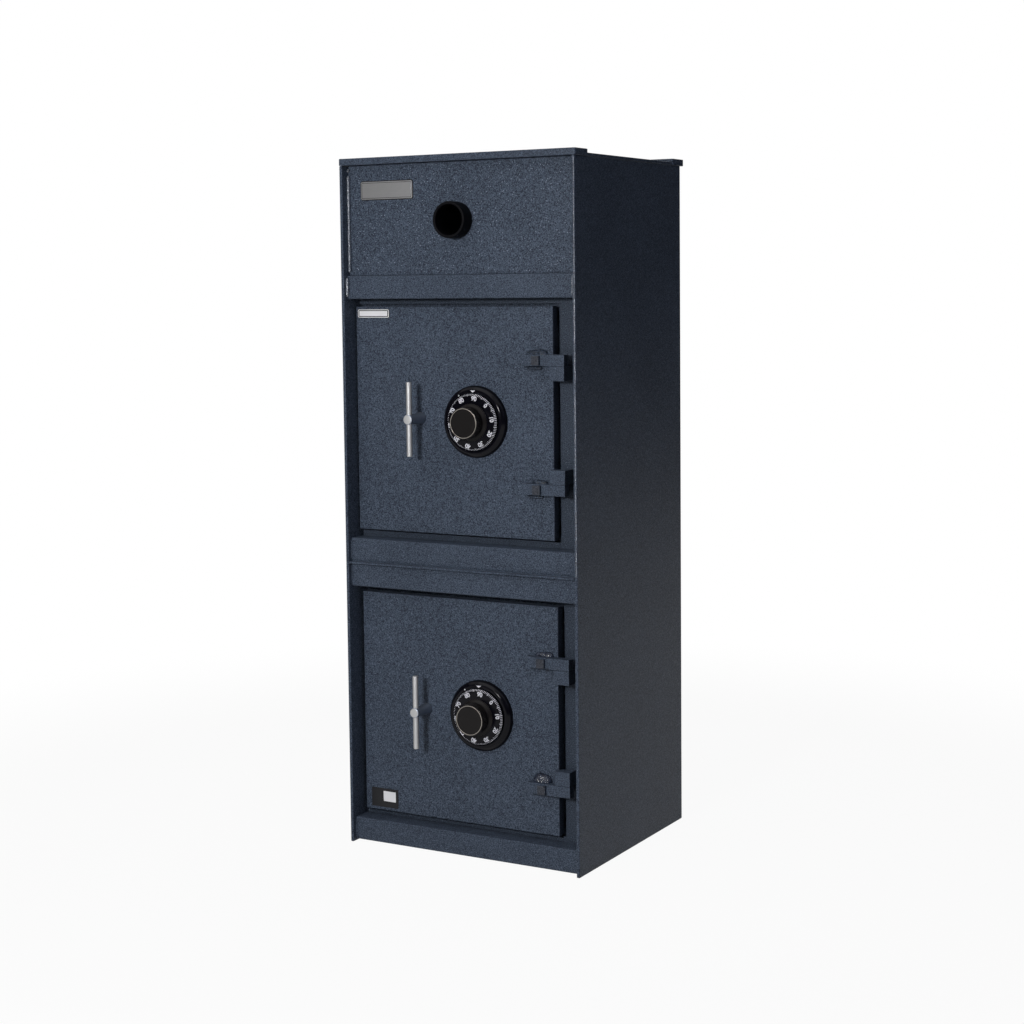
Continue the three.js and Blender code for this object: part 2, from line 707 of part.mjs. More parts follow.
// Boltwork: two round bolts forked over a carrier that slides to the left, and the guide with its
// two headed studs.
// The crank's pin drives the carrier through an upright slot, and a lug on the upper arm passes
// the lock's bolt, which blocks it from either end of the throw.
function addBoltwork(door, group, places) {
  const { handle, dial } = places;
  const tip = -doorWidth / 2 + stopLapLeft + boltTipGap;
  const webLeft = tip + boltTipChamfer + 1;
  const webRight = webLeft + guideWebThickness;
  const barLeft = webRight + boltThrow + boltTipChamfer;
  const barRight = barLeft + carrierBarWidth;
  const reach = crankRadius * Math.SQRT1_2;
  const pinRadius = crankPinDiameter / 2 + crankPinPlay;
  const pinHigh = handle.z - reach;
  const pinLow = handle.z - crankRadius;
  const slotX = handle.x + reach;
  const armRight = slotX + pinRadius + carrierArmMargin;
  const armLow = pinLow - pinRadius - carrierArmMargin;
  const armHigh = pinHigh + pinRadius + carrierArmMargin;
  const caseTop = dial.z + lockCaseAboveDial;
  const lugArmLow = caseTop + lugArmAboveCase;
  const lugLeft = dial.x + lockBoltWidth / 2 + lugPlay;
  const lugRight = lugLeft + lugWidth;

  const carrier = outline([
    [barLeft, -carrierBarHalfHeight],
    [barRight, -carrierBarHalfHeight],
    [barRight, armLow],
    [armRight, armLow],
    [armRight, armHigh],
    [barRight, armHigh],
    [barRight, lugArmLow],
    [lugLeft, lugArmLow],
    [lugLeft, caseTop + lugAboveCase],
    [lugRight, caseTop + lugAboveCase],
    [lugRight, lugArmLow + lugArmHeight],
    [barRight, lugArmLow + lugArmHeight],
    [barRight, carrierBarHalfHeight],
    [barLeft, carrierBarHalfHeight],
  ]);
  const pinSlot = new THREE.Path();
  pinSlot.absarc(slotX, pinHigh, pinRadius, 0, Math.PI, false);
  pinSlot.absarc(slotX, pinLow, pinRadius, Math.PI, 2 * Math.PI, false);
  carrier.holes.push(pinSlot);
  const studRadius = studDiameter / 2;
  const studX = (barLeft + barRight - boltThrow) / 2;
  for (const z of [-studHalfSpacing, studHalfSpacing]) {
    carrier.holes.push(slotHole(studX - studPlay, studX + boltThrow + studPlay, z, studRadius + studPlay));
  }

  const bolts = new THREE.Group();
  group.add(bolts);
  const sides = { sides: roundSides / 4 };
  addPiece(bolts, `${door.name}_bolt_carrier`, frontPlate(carrier, carrierFront, carrierBack, sides), zincPlate);
  for (const [end, z] of [['top', boltHalfSpacing], ['bottom', -boltHalfSpacing]]) {
    const length = barLeft + boltFork - tip;
    const round = turnedSolid([
      [0, 0],
      [boltDiameter / 2 - boltTipChamfer, 0],
      [boltDiameter / 2, boltTipChamfer],
      [boltDiameter / 2, length],
      [0, length],
    ]).rotateZ(-Math.PI / 2).translate(tip, boltCentre, z);
    const fork = block(
      [barLeft - seat, barLeft + boltFork + 1],
      [carrierFront - seat, carrierBack + seat],
      [z - boltDiameter, z + boltDiameter],
    );
    addPiece(bolts, `${door.name}_locking_bolt_${end}`, cut(round, fork), brightSteel);
  }

  const guideHalf = boltHalfSpacing + guideEndMargin;
  const flangeRight = studX + studHeadDiameter / 2 + guideFlangeMargin;
  const guideBack = boltCentre + boltDiameter / 2 + guideGauge;
  const guideSection = outline([
    [webLeft, onDoorBack],
    [flangeRight, onDoorBack],
    [flangeRight, onDoorBack + guideGauge],
    [webRight, onDoorBack + guideGauge],
    [webRight, guideBack],
    [webLeft, guideBack],
  ]);
  const boreRadius = boltDiameter / 2 + guideBoreClearance;
  const bores = [-boltHalfSpacing, boltHalfSpacing].map((z) => (
    rod(boreRadius, guideWebThickness + 2).rotateZ(-Math.PI / 2).translate(webLeft - 1, boltCentre, z)
  ));
  const studs = [-studHalfSpacing, studHalfSpacing].map((z) => (
    turnedSolid([
      [0, onDoorBack + guideGauge / 2],
      [studRadius, onDoorBack + guideGauge / 2],
      [studRadius, carrierBack + seat],
      [studHeadDiameter / 2, carrierBack + seat],
      [studHeadDiameter / 2, carrierBack + seat + studHeadThickness],
      [0, carrierBack + seat + studHeadThickness],
    ]).translate(studX, 0, z)
  ));
  const guide = cut(join(barUpright(guideSection, -guideHalf, guideHalf), ...studs), ...bores);
  addPiece(group, `${door.name}_bolt_guide`, guide, zincPlate);
}

// Combination lock: ring and dial in front of the door, spindle and cam through it, case with
// cover behind it, and the lock's own bolt, which slides up past the carrier's lug.
function addLock(door, group, place) {
  const lock = new THREE.Group();
  lock.position.set(place.x, 0, place.z);
  group.add(lock);

  const ringFront = doorRecess - seat - dialRingHeight;
  const outer = dialRingDiameter / 2;
  const bore = dialRingBore / 2;
  const ring = turned([
    [bore, ringFront],
    [outer - dialRingLip, ringFront],
    [outer - dialRingLip * 0.25, ringFront + dialRingHeight * 0.3],
    [outer, ringFront + dialRingHeight * 0.65],
    [outer, doorRecess - seat],
    [bore, doorRecess - seat],
  ], fineSides);
  addPiece(lock, `${door.name}_dial_ring`, ring, dialBlack);

  const discFront = doorRecess - dialDiscFront;
  const discBack = discFront + dialDiscThickness;
  const disc = dialDiameter / 2;
  const knobFront = doorRecess - knobReach;
  const dial = turnedSolid([
    [0, knobFront],
    [knobFrontDiameter / 2 - knobEdge, knobFront],
    [knobFrontDiameter / 2, knobFront + knobEdge],
    [knobWaistDiameter / 2, discFront - knobSkirtHeight],
    [knobSkirtDiameter / 2, discFront],
    [disc - dialBevelWidth, discFront],
    [disc, discFront + dialBevelDepth],
    [disc, discBack],
    [spindleDiameter / 2 + seat, discBack],
    [spindleDiameter / 2 + seat, discFront],
    [0, discFront],
  ], fineSides);
  addPiece(lock, `${door.name}_dial`, dial, dialBlack);

  const caseFront = onDoorBack;
  const caseBack = caseFront + lockCaseDepth;
  const camBack = caseBack - camFromCover;
  const spindle = turnedSolid([
    [0, discFront + seat],
    [spindleDiameter / 2, discFront + seat],
    [spindleDiameter / 2, camBack - camThickness],
    [camDiameter / 2, camBack - camThickness],
    [camDiameter / 2, camBack],
    [0, camBack],
  ]);
  addPiece(lock, `${door.name}_spindle_and_cam`, spindle, lockBrass);

  const half = lockCaseWidth / 2;
  const low = -lockCaseBelowDial;
  const high = lockCaseAboveDial;
  const boltFront = boltCentre - lockBoltThickness / 2;
  const boltBack = boltCentre + lockBoltThickness / 2;
  const slotHalf = lockBoltWidth / 2 + lockBoltPlay;
  const shell = cut(
    block([-half, half], [caseFront, caseBack], [low, high]),
    block(
      [-half + lockCaseWall, half - lockCaseWall],
      [caseFront + lockCaseWall, caseBack + 1],
      [low + lockCaseWall, high - lockCaseWall],
    ),
    block([-slotHalf, slotHalf], [boltFront - lockBoltPlay, boltBack + lockBoltPlay], [0, high + 1]),
    rod(spindleDiameter / 2 + spindleClearance, lockCaseWall + 2).translate(0, caseFront - 1, 0),
  );
  addPiece(lock, `${door.name}_lock_case`, shell, zincPlate);
  const coverFront = caseBack + seat;
  const cover = block([-half, half], [coverFront, coverFront + lockCoverThickness], [low, high]);
  addPiece(lock, `${door.name}_lock_cover`, cover, zincPlate);

  const boltTop = high - lockBoltSink;
  const lockBolt = block(
    [-lockBoltWidth / 2, lockBoltWidth / 2],
    [boltFront, boltBack],
    [boltTop - lockBoltLength, boltTop],
  );
  addPiece(lock, `${door.name}_lock_bolt`, lockBolt, lockBrass);
}

function addDoor(door) {
  const middleX = door.left + doorWidth / 2;
  const group = new THREE.Group();
  group.position.set(middleX, 0, door.middle);
  safe.add(group);
  const places = {
    handle: { x: -handleLeftOfDoorMid, z: handleAboveDoorMid - door.handleDrop },
    dial: { x: dialRightOfDoorMid, z: dialAboveDoorMid - door.dialDrop },
  };
  addDoorLeaf(door, group, places);
  addHingeStraps(door, group, middleX);
  addHandle(door, group, places.handle);
  addBoltwork(door, group, places);
  addLock(door, group, places.dial);
}

addShell();
addFront();
addDrop();
for (const door of doors) {
  addFrame(door);
  addHingeBlocks(door);
  addDoor(door);
}

// The origin goes under the middle of the whole: the handles reach furthest forward and the rear
// bar furthest back.
const frontmost = doorRecess - handleReach;
const rearmost = bodyDepth + barRearOverhang;
safe.position.y = -(frontmost + rearmost) / 2;

export default safe;
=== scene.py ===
"""Looks of a deposit safe with a round drop opening and two dial-locked doors.

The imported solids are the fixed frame. Each sub-assembly below takes its places from them, gives
their edges the small radius of the real plates, and adds the beads, screws, markings and plates
that the solids leave out. Lengths are metres, in the frame's own axes, and the sizes that the
classes of the sub-assemblies hold are millimetres.
"""

import logging
import math
from collections.abc import Callable
from dataclasses import dataclass
from enum import Enum
from functools import cache
from typing import NamedTuple

import bmesh
import bpy
import numpy as np
from mathutils import Matrix, Vector


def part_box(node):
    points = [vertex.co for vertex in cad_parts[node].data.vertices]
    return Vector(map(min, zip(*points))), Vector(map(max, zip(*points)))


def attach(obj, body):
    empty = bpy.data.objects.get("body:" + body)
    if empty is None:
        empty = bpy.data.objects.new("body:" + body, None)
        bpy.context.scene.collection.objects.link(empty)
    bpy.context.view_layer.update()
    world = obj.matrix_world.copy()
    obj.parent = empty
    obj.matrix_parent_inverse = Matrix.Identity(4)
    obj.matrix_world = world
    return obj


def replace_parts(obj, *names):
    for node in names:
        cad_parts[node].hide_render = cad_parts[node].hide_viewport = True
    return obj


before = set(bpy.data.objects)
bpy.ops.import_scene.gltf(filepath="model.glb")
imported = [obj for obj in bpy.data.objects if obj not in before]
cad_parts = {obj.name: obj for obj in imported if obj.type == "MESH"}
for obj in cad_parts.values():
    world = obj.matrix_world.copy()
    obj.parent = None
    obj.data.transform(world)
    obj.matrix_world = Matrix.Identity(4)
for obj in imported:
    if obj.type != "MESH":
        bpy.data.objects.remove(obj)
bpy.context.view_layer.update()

logging.basicConfig(level=logging.INFO, format="%(name)s: %(message)s")
log = logging.getLogger("deposit_safe")

MM = 0.001
TAU = 2 * math.pi
DOORS = ("upper", "lower")
ENDS = ("top", "bottom")
Colour = tuple[float, float, float]
Point = tuple[float, float, float]


class Axis(Enum):
    """Directions of turned pieces and beads: numbers of the two axes across, and of the one along."""

    X = (1, 2, 0)
    Y = (0, 2, 1)
    Z = (0, 1, 2)


class Look(Enum):
    """Names of the finishes."""

    PAINT = "cabinet_paint"
    HEADER = "header_paint"
    RECESS = "recess_paint"
    BRIGHT_WELD = "bright_weld"
    STUB = "stub_paint"
    DARK_LUMP = "dark_lump"
    WELD = "painted_weld"
    LUMP = "hinge_weld"
    STAINLESS = "stainless"
    POLISHED = "polished_stainless"
    STEEL = "bright_steel"
    ZINC = "zinc_plate"
    BRASS = "lock_brass"
    GLOSS_BLACK = "dial_black"
    KNOB = "knob_black"
    PLASTIC = "black_plastic"
    WHITE = "marking_white"
    PEWTER = "knob_ring"
    NAMEPLATE = "bare_nameplate"
    LABEL_PALE = "label_pale"
    LABEL_DARK = "label_dark"


# Shader maths


def math_method(operation: str, swapped: bool = False) -> "Callable[[Signal, Signal | float], Signal]":
    """Method of a signal that adds one Math node.

    Args:
        operation: What the node does.
        swapped: Whether the other value comes first.

    Returns:
        The method.
    """

    def method(signal: "Signal", other: "Signal | float") -> "Signal":
        """Output of the node for the two values."""
        pair = (other, signal) if swapped else (signal, other)
        return signal.network.node("ShaderNodeMath", {"operation": operation}, dict(enumerate(pair)))

    return method


@dataclass(frozen=True)
class Signal:
    """An output socket of a network, on which Python arithmetic adds Math nodes."""

    network: "Network"
    socket: bpy.types.NodeSocket

    __add__ = math_method("ADD")
    __radd__ = math_method("ADD", swapped=True)
    __sub__ = math_method("SUBTRACT")
    __rsub__ = math_method("SUBTRACT", swapped=True)
    __mul__ = math_method("MULTIPLY")
    __rmul__ = math_method("MULTIPLY", swapped=True)
    at_most = math_method("MINIMUM")
    at_least = math_method("MAXIMUM")

    def between(self, low: float, high: float) -> "Signal":
        """0 below low, 1 above high, and a smooth step from one to the other."""
        settings = {"interpolation_type": "SMOOTHSTEP"}
        return self.network.node("ShaderNodeMapRange", settings, {"Value": self, 1: low, 2: high})


@dataclass
class Network:
    """Nodes of one tree, of a material or of the world."""

    tree: bpy.types.NodeTree

    def node(
        self,
        kind: str,
        settings: dict[str, object] | None = None,
        inputs: dict[str | int, "Signal | object"] | None = None,
        output: str | int = 0,
    ) -> Signal:
        """Adds a node.

        Args:
            kind: Blender's name of the node type.
            settings: Properties of the node, set before its sockets.
            inputs: Values or links by socket name or number.
            output: Name or number of the output wanted.

        Returns:
            That output.
        """
        made = self.tree.nodes.new(kind)
        for name, value in (settings or {}).items():
            setattr(made, name, value)
        for key, value in (inputs or {}).items():
            self.feed(made.inputs[key], value)
        return Signal(self, made.outputs[output])

    def feed(self, socket: bpy.types.NodeSocket, value: "Signal | object") -> None:
        """Links a signal to a socket, or sets the socket to a plain value.

        Args:
            socket: Input of a node.
            value: What it takes.
        """
        if isinstance(value, Signal):
            self.tree.links.new(value.socket, socket)
        else:
            socket.default_value = value

    def seen(self) -> Signal:
        """1 for rays from the camera, off gloss or through glass, else 0."""
        path = self.tree.nodes.new("ShaderNodeLightPath")
        camera, gloss, glass = (
            Signal(self, path.outputs[f"Is {kind} Ray"]) for kind in ("Camera", "Glossy", "Transmission")
        )
        return camera.at_least(gloss).at_least(glass)


class Recipe(Network):
    """One material under construction around its Principled shader."""

    def __init__(self, name: str) -> None:
        """Starts a node material.

        Args:
            name: Name of the material.
        """
        self.material = bpy.data.materials.new(name)
        self.material.use_nodes = True
        super().__init__(self.material.node_tree)
        self.shader = self.tree.nodes["Principled BSDF"]
        self.output = self.tree.nodes["Material Output"]

    def place(self, scale: Point = (1, 1, 1)) -> Signal:
        """Object coordinates, stretched by a scale on each axis."""
        coordinates = self.node("ShaderNodeTexCoord", output="Object")
        return self.node("ShaderNodeVectorMath", {"operation": "MULTIPLY"}, {0: coordinates, 1: scale})

    def noise(self, where: Signal, scale: float, detail: float = 2, roughness: float = 0.5) -> Signal:
        """Cloudy value about 0.5."""
        return self.node(
            "ShaderNodeTexNoise",
            inputs={"Vector": where, "Scale": scale, "Detail": detail, "Roughness": roughness},
        )

    def cells(self, where: Signal, scale: float) -> Signal:
        """Distance from the nearest of scattered points, in cells."""
        return self.node("ShaderNodeTexVoronoi", inputs={"Vector": where, "Scale": scale})

    def blend(self, share: Signal, first: "Signal | Colour", second: "Signal | Colour") -> Signal:
        """Mix of two colours, all second where the share is 1."""
        colours = [c if isinstance(c, Signal) else (*c, 1.0) for c in (first, second)]
        return self.node("ShaderNodeMix", {"data_type": "RGBA"}, {0: share, 6: colours[0], 7: colours[1]}, 2)

    def bump(self, height: Signal, depth: float, strength: float) -> None:
        """Feeds the shader's normal from a height that runs from 0 to 1 over a depth in metres."""
        bump = self.node("ShaderNodeBump", inputs={"Height": height, "Distance": depth, "Strength": strength})
        self.feed(self.shader.inputs["Normal"], bump)

    def set(self, **values: "Signal | object") -> None:
        """Sets the shader's sockets; a word's underscores stand for spaces."""
        for name, value in values.items():
            self.feed(self.shader.inputs[name.replace("_", " ")], value)


# Finishes


@dataclass(frozen=True)
class PowderCoat:
    """Orange-peel powder coat: fine dark and pale grain, with scattered specks painted pale as glints of the
    lamps.
    """

    dark: Colour = (0.016, 0.021, 0.032)
    light: Colour = (0.078, 0.100, 0.140)
    painted_glint: Colour = (0.20, 0.24, 0.31)
    grain_scale: float = 820
    sand_scale: float = 1500
    relief: float = 0.0005
    roughness: float = 0.42
    specular: float = 0.10
    painted_glint_share: float = 0.6
    contrast: float = 3.8
    cloud_scale: float = 9
    speck_scale: float = 330

    def build(self, name: str) -> bpy.types.Material:
        """Makes the material.

        Args:
            name: Name of the material.

        Returns:
            The material.
        """
        recipe = Recipe(name)
        where = recipe.place()
        grain = recipe.noise(where, self.grain_scale, 1.5, 0.6)
        sand = recipe.noise(where, self.sand_scale, 1)
        cloud = recipe.noise(where, self.cloud_scale, 3)
        tone = (grain - 0.5) * self.contrast + (sand - 0.5) * 0.8 + (cloud - 0.5) * 0.4 + 0.45
        # Painted highlight: where the grain peaks inside scattered cells, the colour turns towards the pale
        # glint colour.
        glint_specks = 1 - recipe.cells(where, self.speck_scale).between(0.10, 0.26)
        colour = recipe.blend(tone.at_least(0).at_most(1), self.dark, self.light)
        colour = recipe.blend(glint_specks * grain.between(0.5, 0.6) * self.painted_glint_share, colour, self.painted_glint)
        recipe.set(
            Base_Color=colour,
            Roughness=self.roughness + (sand - 0.5) * 0.2,
            Specular_IOR_Level=self.specular,
        )
        recipe.bump(grain * 0.8 + sand * 0.2, self.relief, 0.6)
        return recipe.material


@dataclass(frozen=True)
class Metal:
    """Bare metal with the fine lines left by turning or drawing."""

    colour: Colour
    shade: Colour
    roughness: float
    lines: Point = (30, 5200, 30)
    mottling: float = 40
    spread: float = 0.14
    blotch: float = 1.2
    relief: float = 0.00004

    def build(self, name: str) -> bpy.types.Material:
        """Makes the material.

        Args:
            name: Name of the material.

        Returns:
            The material.
        """
        recipe = Recipe(name)
        lines = recipe.noise(recipe.place(self.lines), 1, 3, 0.6)
        stain = recipe.noise(recipe.place(), self.mottling, 4, 0.6)
        share = ((lines - 0.5) * 0.9 + (stain - 0.5) * self.blotch + 0.42).at_least(0).at_most(1)
        recipe.set(
            Base_Color=recipe.blend(share, self.colour, self.shade),
            Metallic=1.0,
            Roughness=self.roughness + (stain - 0.5) * self.spread + (lines - 0.5) * 0.12,
        )
        recipe.bump(lines, self.relief, 0.35)
        return recipe.material


@dataclass(frozen=True)
class Moulding:
    """Plastic or lacquer: one colour with faint handling marks in its gloss."""

    colour: Colour
    worn: Colour
    roughness: float
    specular: float
    texture_scale: float = 900
    film_scale: float = 60
    relief: float = 0.00003

    def build(self, name: str) -> bpy.types.Material:
        """Makes the material.

        Args:
            name: Name of the material.

        Returns:
            The material.
        """
        recipe = Recipe(name)
        where = recipe.place()
        skin = recipe.noise(where, self.texture_scale, 2)
        film = recipe.noise(where, self.film_scale, 4, 0.65)
        marks = film.between(0.52, 0.78)
        recipe.set(
            Base_Color=recipe.blend(marks * 0.6, self.colour, self.worn),
            Roughness=self.roughness + marks * 0.12 + (skin - 0.5) * 0.08,
            Specular_IOR_Level=self.specular,
        )
        recipe.bump(skin, self.relief, 0.5)
        return recipe.material


FINISHES = {
    Look.PAINT: PowderCoat(),
    # Header panel: paler and more of the painted glints, a painted highlight of the lamps on its grain.
    Look.HEADER: PowderCoat(painted_glint=(0.32, 0.37, 0.46), painted_glint_share=0.9),
    # Door frames and stops: the coat darkened as painted shade of their recess.
    Look.RECESS: PowderCoat((0.012, 0.016, 0.024), (0.058, 0.074, 0.103)),
    Look.STUB: PowderCoat((0.020, 0.021, 0.026), (0.061, 0.067, 0.082)),
    # Beads paler than the cabinet paint: their paleness is a painted highlight, on top of their real gloss.
    Look.WELD: PowderCoat((0.024, 0.030, 0.042), (0.110, 0.130, 0.170), grain_scale=500, relief=0.0004,
                          roughness=0.22, specular=1.0),
    # Crest beads beside the header: pale colour as a painted highlight, on top of their real gloss.
    Look.BRIGHT_WELD: PowderCoat((0.05, 0.06, 0.08), (0.20, 0.22, 0.26), grain_scale=500, relief=0.0004,
                                 roughness=0.22, specular=1.0),
    Look.LUMP: PowderCoat((0.009, 0.013, 0.020), (0.044, 0.058, 0.086), grain_scale=420, relief=0.0016,
                          roughness=0.30, specular=0.16),
    # Lower door's hinge welds: a darker copy of the hinge weld, painted shade on tops seen from above.
    Look.DARK_LUMP: PowderCoat((0.006, 0.008, 0.017), (0.026, 0.034, 0.060), grain_scale=420, relief=0.0028,
                               roughness=0.16, specular=0.6),
    Look.STAINLESS: Metal((0.50, 0.50, 0.50), (0.41, 0.41, 0.42), 0.56, (60, 60, 4200), 40, 0.04, 0.4),
    # Shank: polished steel tinted blue-grey, a painted reflection of the door around it.
    Look.POLISHED: Metal((0.34, 0.37, 0.43), (0.28, 0.31, 0.37), 0.45, (60, 900, 60), 40, 0.03, 0.4),
    Look.STEEL: Metal((0.72, 0.73, 0.74), (0.48, 0.49, 0.51), 0.30, (5200, 30, 30)),
    Look.ZINC: Metal((0.72, 0.70, 0.60), (0.50, 0.51, 0.50), 0.40, (60, 60, 60), 26, 0.2),
    Look.BRASS: Metal((0.74, 0.58, 0.30), (0.52, 0.39, 0.20), 0.32),
    Look.GLOSS_BLACK: Moulding((0.0030, 0.0030, 0.0050), (0.005, 0.005, 0.008), 0.11, 0.11),
    Look.KNOB: Moulding((0.009, 0.008, 0.008), (0.014, 0.012, 0.012), 0.32, 0.12),
    Look.PLASTIC: Moulding((0.002, 0.002, 0.003), (0.004, 0.004, 0.005), 0.5, 0.06, 1600, relief=0.00005),
    Look.WHITE: Moulding((0.66, 0.66, 0.72), (0.50, 0.50, 0.56), 0.5, 0.2),
    Look.PEWTER: Metal((0.42, 0.39, 0.35), (0.28, 0.26, 0.24), 0.38),
    Look.NAMEPLATE: Metal((0.34, 0.34, 0.34), (0.26, 0.26, 0.27), 0.45, (40, 30, 5200), 30, 0.1),
    Look.LABEL_PALE: Moulding((0.70, 0.70, 0.72), (0.58, 0.58, 0.60), 0.45, 0.2),
    Look.LABEL_DARK: Moulding((0.012, 0.012, 0.014), (0.02, 0.02, 0.022), 0.38, 0.2),
}


@cache
def material(look: Look) -> bpy.types.Material:
    """Material of a look, made the first time it is asked for."""
    return FINISHES[look].build(look.value)


# Surfaces


def grid_quads(rows: int, columns: int, ring: bool) -> np.ndarray:
    """Quads of a grid of points stored row after row.

    Args:
        rows: Number of rows.
        columns: Number of points in a row.
        ring: Whether each row closes on itself.

    Returns:
        Four point numbers for each quad.
    """
    row = np.arange(rows - 1)[:, None] * columns
    column = np.arange(columns if ring else columns - 1)[None, :]
    following = (column + 1) % columns
    corners = (row + column, row + following, row + columns + following, row + columns + column)
    return np.stack(corners, axis=-1).reshape(-1, 4)


def place_object(name: str, data: bpy.types.ID) -> bpy.types.Object:
    """Puts a mesh, curve, camera or lamp into the scene.

    Args:
        name: Name of its object.
        data: What the object holds.

    Returns:
        The object.
    """
    made = bpy.data.objects.new(name, data)
    bpy.context.scene.collection.objects.link(made)
    return made


def place_mesh(name: str, points: np.ndarray, faces: list) -> bpy.types.Object:
    """Puts points and faces into the scene.

    Args:
        name: Name of the mesh and of its object.
        points: One row of coordinates for each point.
        faces: Numbers of the points of each face.

    Returns:
        The object.
    """
    mesh = bpy.data.meshes.new(name)
    mesh.from_pydata(points.tolist(), [], faces)
    return place_object(name, mesh)


def make_piece(name: str, points: np.ndarray, faces: np.ndarray, sharp: float = 35) -> bpy.types.Object:
    """Puts computed points and faces into a new closed mesh object.

    Args:
        name: Name of the piece.
        points: One row of coordinates for each point.
        faces: One row of point numbers for each face.
        sharp: Angle in degrees above which an edge stays sharp.

    Returns:
        The object, linked to the scene.
    """
    return cleaned(place_mesh(name, points, faces.tolist()), sharp)


def cleaned(piece: bpy.types.Object, sharp: float = 35, flat: float = 0) -> bpy.types.Object:
    """Merges a piece's doubled points, turns its faces outward and shades it smooth.

    Args:
        piece: Mesh object.
        sharp: Angle in degrees above which an edge stays sharp.
        flat: Angle in degrees below which neighbouring faces become one, or 0 for none.

    Returns:
        The same object.
    """
    work = bmesh.new()
    work.from_mesh(piece.data)
    bmesh.ops.remove_doubles(work, verts=work.verts, dist=2e-6)
    bmesh.ops.dissolve_degenerate(work, edges=work.edges, dist=1e-6)
    if flat:
        angle = math.radians(flat)
        bmesh.ops.dissolve_limit(work, angle_limit=angle, verts=work.verts, edges=work.edges)
    bmesh.ops.recalc_face_normals(work, faces=work.faces)
    work.to_mesh(piece.data)
    work.free()
    piece.data.shade_smooth()
    piece.data.set_sharp_from_angle(angle=math.radians(sharp))
    return piece


def eased(profile: np.ndarray, radius: float, steps: int = 5) -> np.ndarray:
    """Rounds the inner corners of an open profile.

    Each corner C becomes the quadratic curve from A to B that leans on C, where A and B lie one
    radius before and after it, or 0.45 of the way to the neighbour where that is shorter:
    (1-t)^2 A + 2 t (1-t) C + t^2 B.

    Args:
        profile: Points in order.
        radius: Distance from the corner at which the curve starts and ends.
        steps: Points of each curve.

    Returns:
        The rounded profile.
    """
    before, corner, after = profile[:-2], profile[1:-1], profile[2:]

    def leave(neighbour: np.ndarray) -> np.ndarray:
        """Points one radius away from the corners.

        Args:
            neighbour: Points before or after them, towards which they lie.

        Returns:
            One point for each corner.
        """
        run = neighbour - corner
        length = np.linalg.norm(run, axis=1, keepdims=True)
        return corner + run / length * np.minimum(radius, 0.45 * length)

    t = np.linspace(0, 1, steps)[None, :, None]
    first, last = leave(before)[:, None], leave(after)[:, None]
    curve = (1 - t) ** 2 * first + 2 * t * (1 - t) * corner[:, None] + t**2 * last
    return np.vstack([profile[:1], curve.reshape(-1, 2), profile[-1:]])


def turned(
    name: str,
    centre: Point,
    profile: np.ndarray,
    axis: Axis = Axis.Y,
    sides: int = 96,
    flutes: tuple[int, float, float, float] | None = None,
) -> bpy.types.Object:
    """Turned piece: point (i, j) lies at radius r_i and distance d_i along the axis, at angle t_j.

    Flutes scale the radius of the rows between two distances by 1 + depth (cos(n t) - 1) / 2.

    Args:
        name: Name of the piece.
        centre: A point on the axis, from which distances count.
        profile: Radius and distance of each row; an open profile starts and ends on the axis.
        axis: Direction of the axis.
        sides: Points round each row.
        flutes: Number of flutes, their depth as a share of the radius, and the two distances.

    Returns:
        The piece.
    """
    closed = profile[0, 0] > 0
    rows = np.vstack([profile, profile[:1]]) if closed else profile
    angle = np.linspace(0, TAU, sides, endpoint=False)
    radius = np.repeat(rows[:, :1], sides, axis=1)
    if flutes:
        count, depth, start, end = flutes
        fluted = (rows[:, 1] > start) & (rows[:, 1] < end) & (rows[:, 0] > 0)
        wave = 1 + depth * (np.cos(count * angle) - 1) / 2
        radius = np.where(fluted[:, None], radius * wave, radius)
    points = np.empty((len(rows), sides, 3))
    first, second, along = axis.value
    points[..., first] = radius * np.cos(angle)
    points[..., second] = radius * np.sin(angle)
    points[..., along] = rows[:, 1:]
    points = points.reshape(-1, 3) + np.array(centre)
    return make_piece(name, points, grid_quads(len(rows), sides, True))


class Layer(NamedTuple):
    """Thin plate of a nameplate or label, in millimetres."""

    part: str
    size: tuple[float, float]
    thickness: float
    corner: float
    look: Look
    shift: tuple[float, float] = (0, 0)


def rounded_plate(name: str, centre: Point, layer: Layer, edge: float) -> bpy.types.Object:
    """Thin plate on a face that looks towards -Y, with round corners and an eased rim.

    Row i is the outline shrunk by inset_i at height_i, where the outline's point at angle t is the
    corner's centre plus the corner's radius along t, and the last row shrinks to the middle.

    Args:
        name: Start of its name.
        centre: Point on the face from which its middle is shifted.
        layer: Its measures.
        edge: Radius of the rim, in millimetres.

    Returns:
        The piece.
    """
    edge, corner, thickness = edge * MM, layer.corner * MM, layer.thickness * MM
    place = np.array(centre) + np.array([layer.shift[0], 0, layer.shift[1]]) * MM
    t = np.linspace(0, TAU, 48, endpoint=False) + TAU / 96
    half = np.array(layer.size) * MM / 2
    direction = np.stack([np.cos(t), np.sin(t)], axis=-1)
    anchor = np.sign(direction) * (half - corner)
    turn = np.linspace(0, math.pi / 2, 5)
    inset = np.concatenate([[0.0], edge * (1 - np.cos(turn)), [1.3 * edge]])
    height = np.concatenate([[0.0], thickness - edge + edge * np.sin(turn), [thickness]])
    outline = anchor[None] + (corner - inset[:, None, None]) * direction[None]
    rows = np.concatenate([np.zeros((1, len(t), 2)), outline, np.zeros((1, len(t), 2))])
    depth = np.concatenate([[0.0], height, [thickness]])
    points = np.empty((len(rows), len(t), 3))
    points[..., 0] = rows[..., 0]
    points[..., 1] = -depth[:, None]
    points[..., 2] = rows[..., 1]
    points = points.reshape(-1, 3) + place
    return make_piece(f"{name}_{layer.part}", points, grid_quads(len(rows), len(t), True))


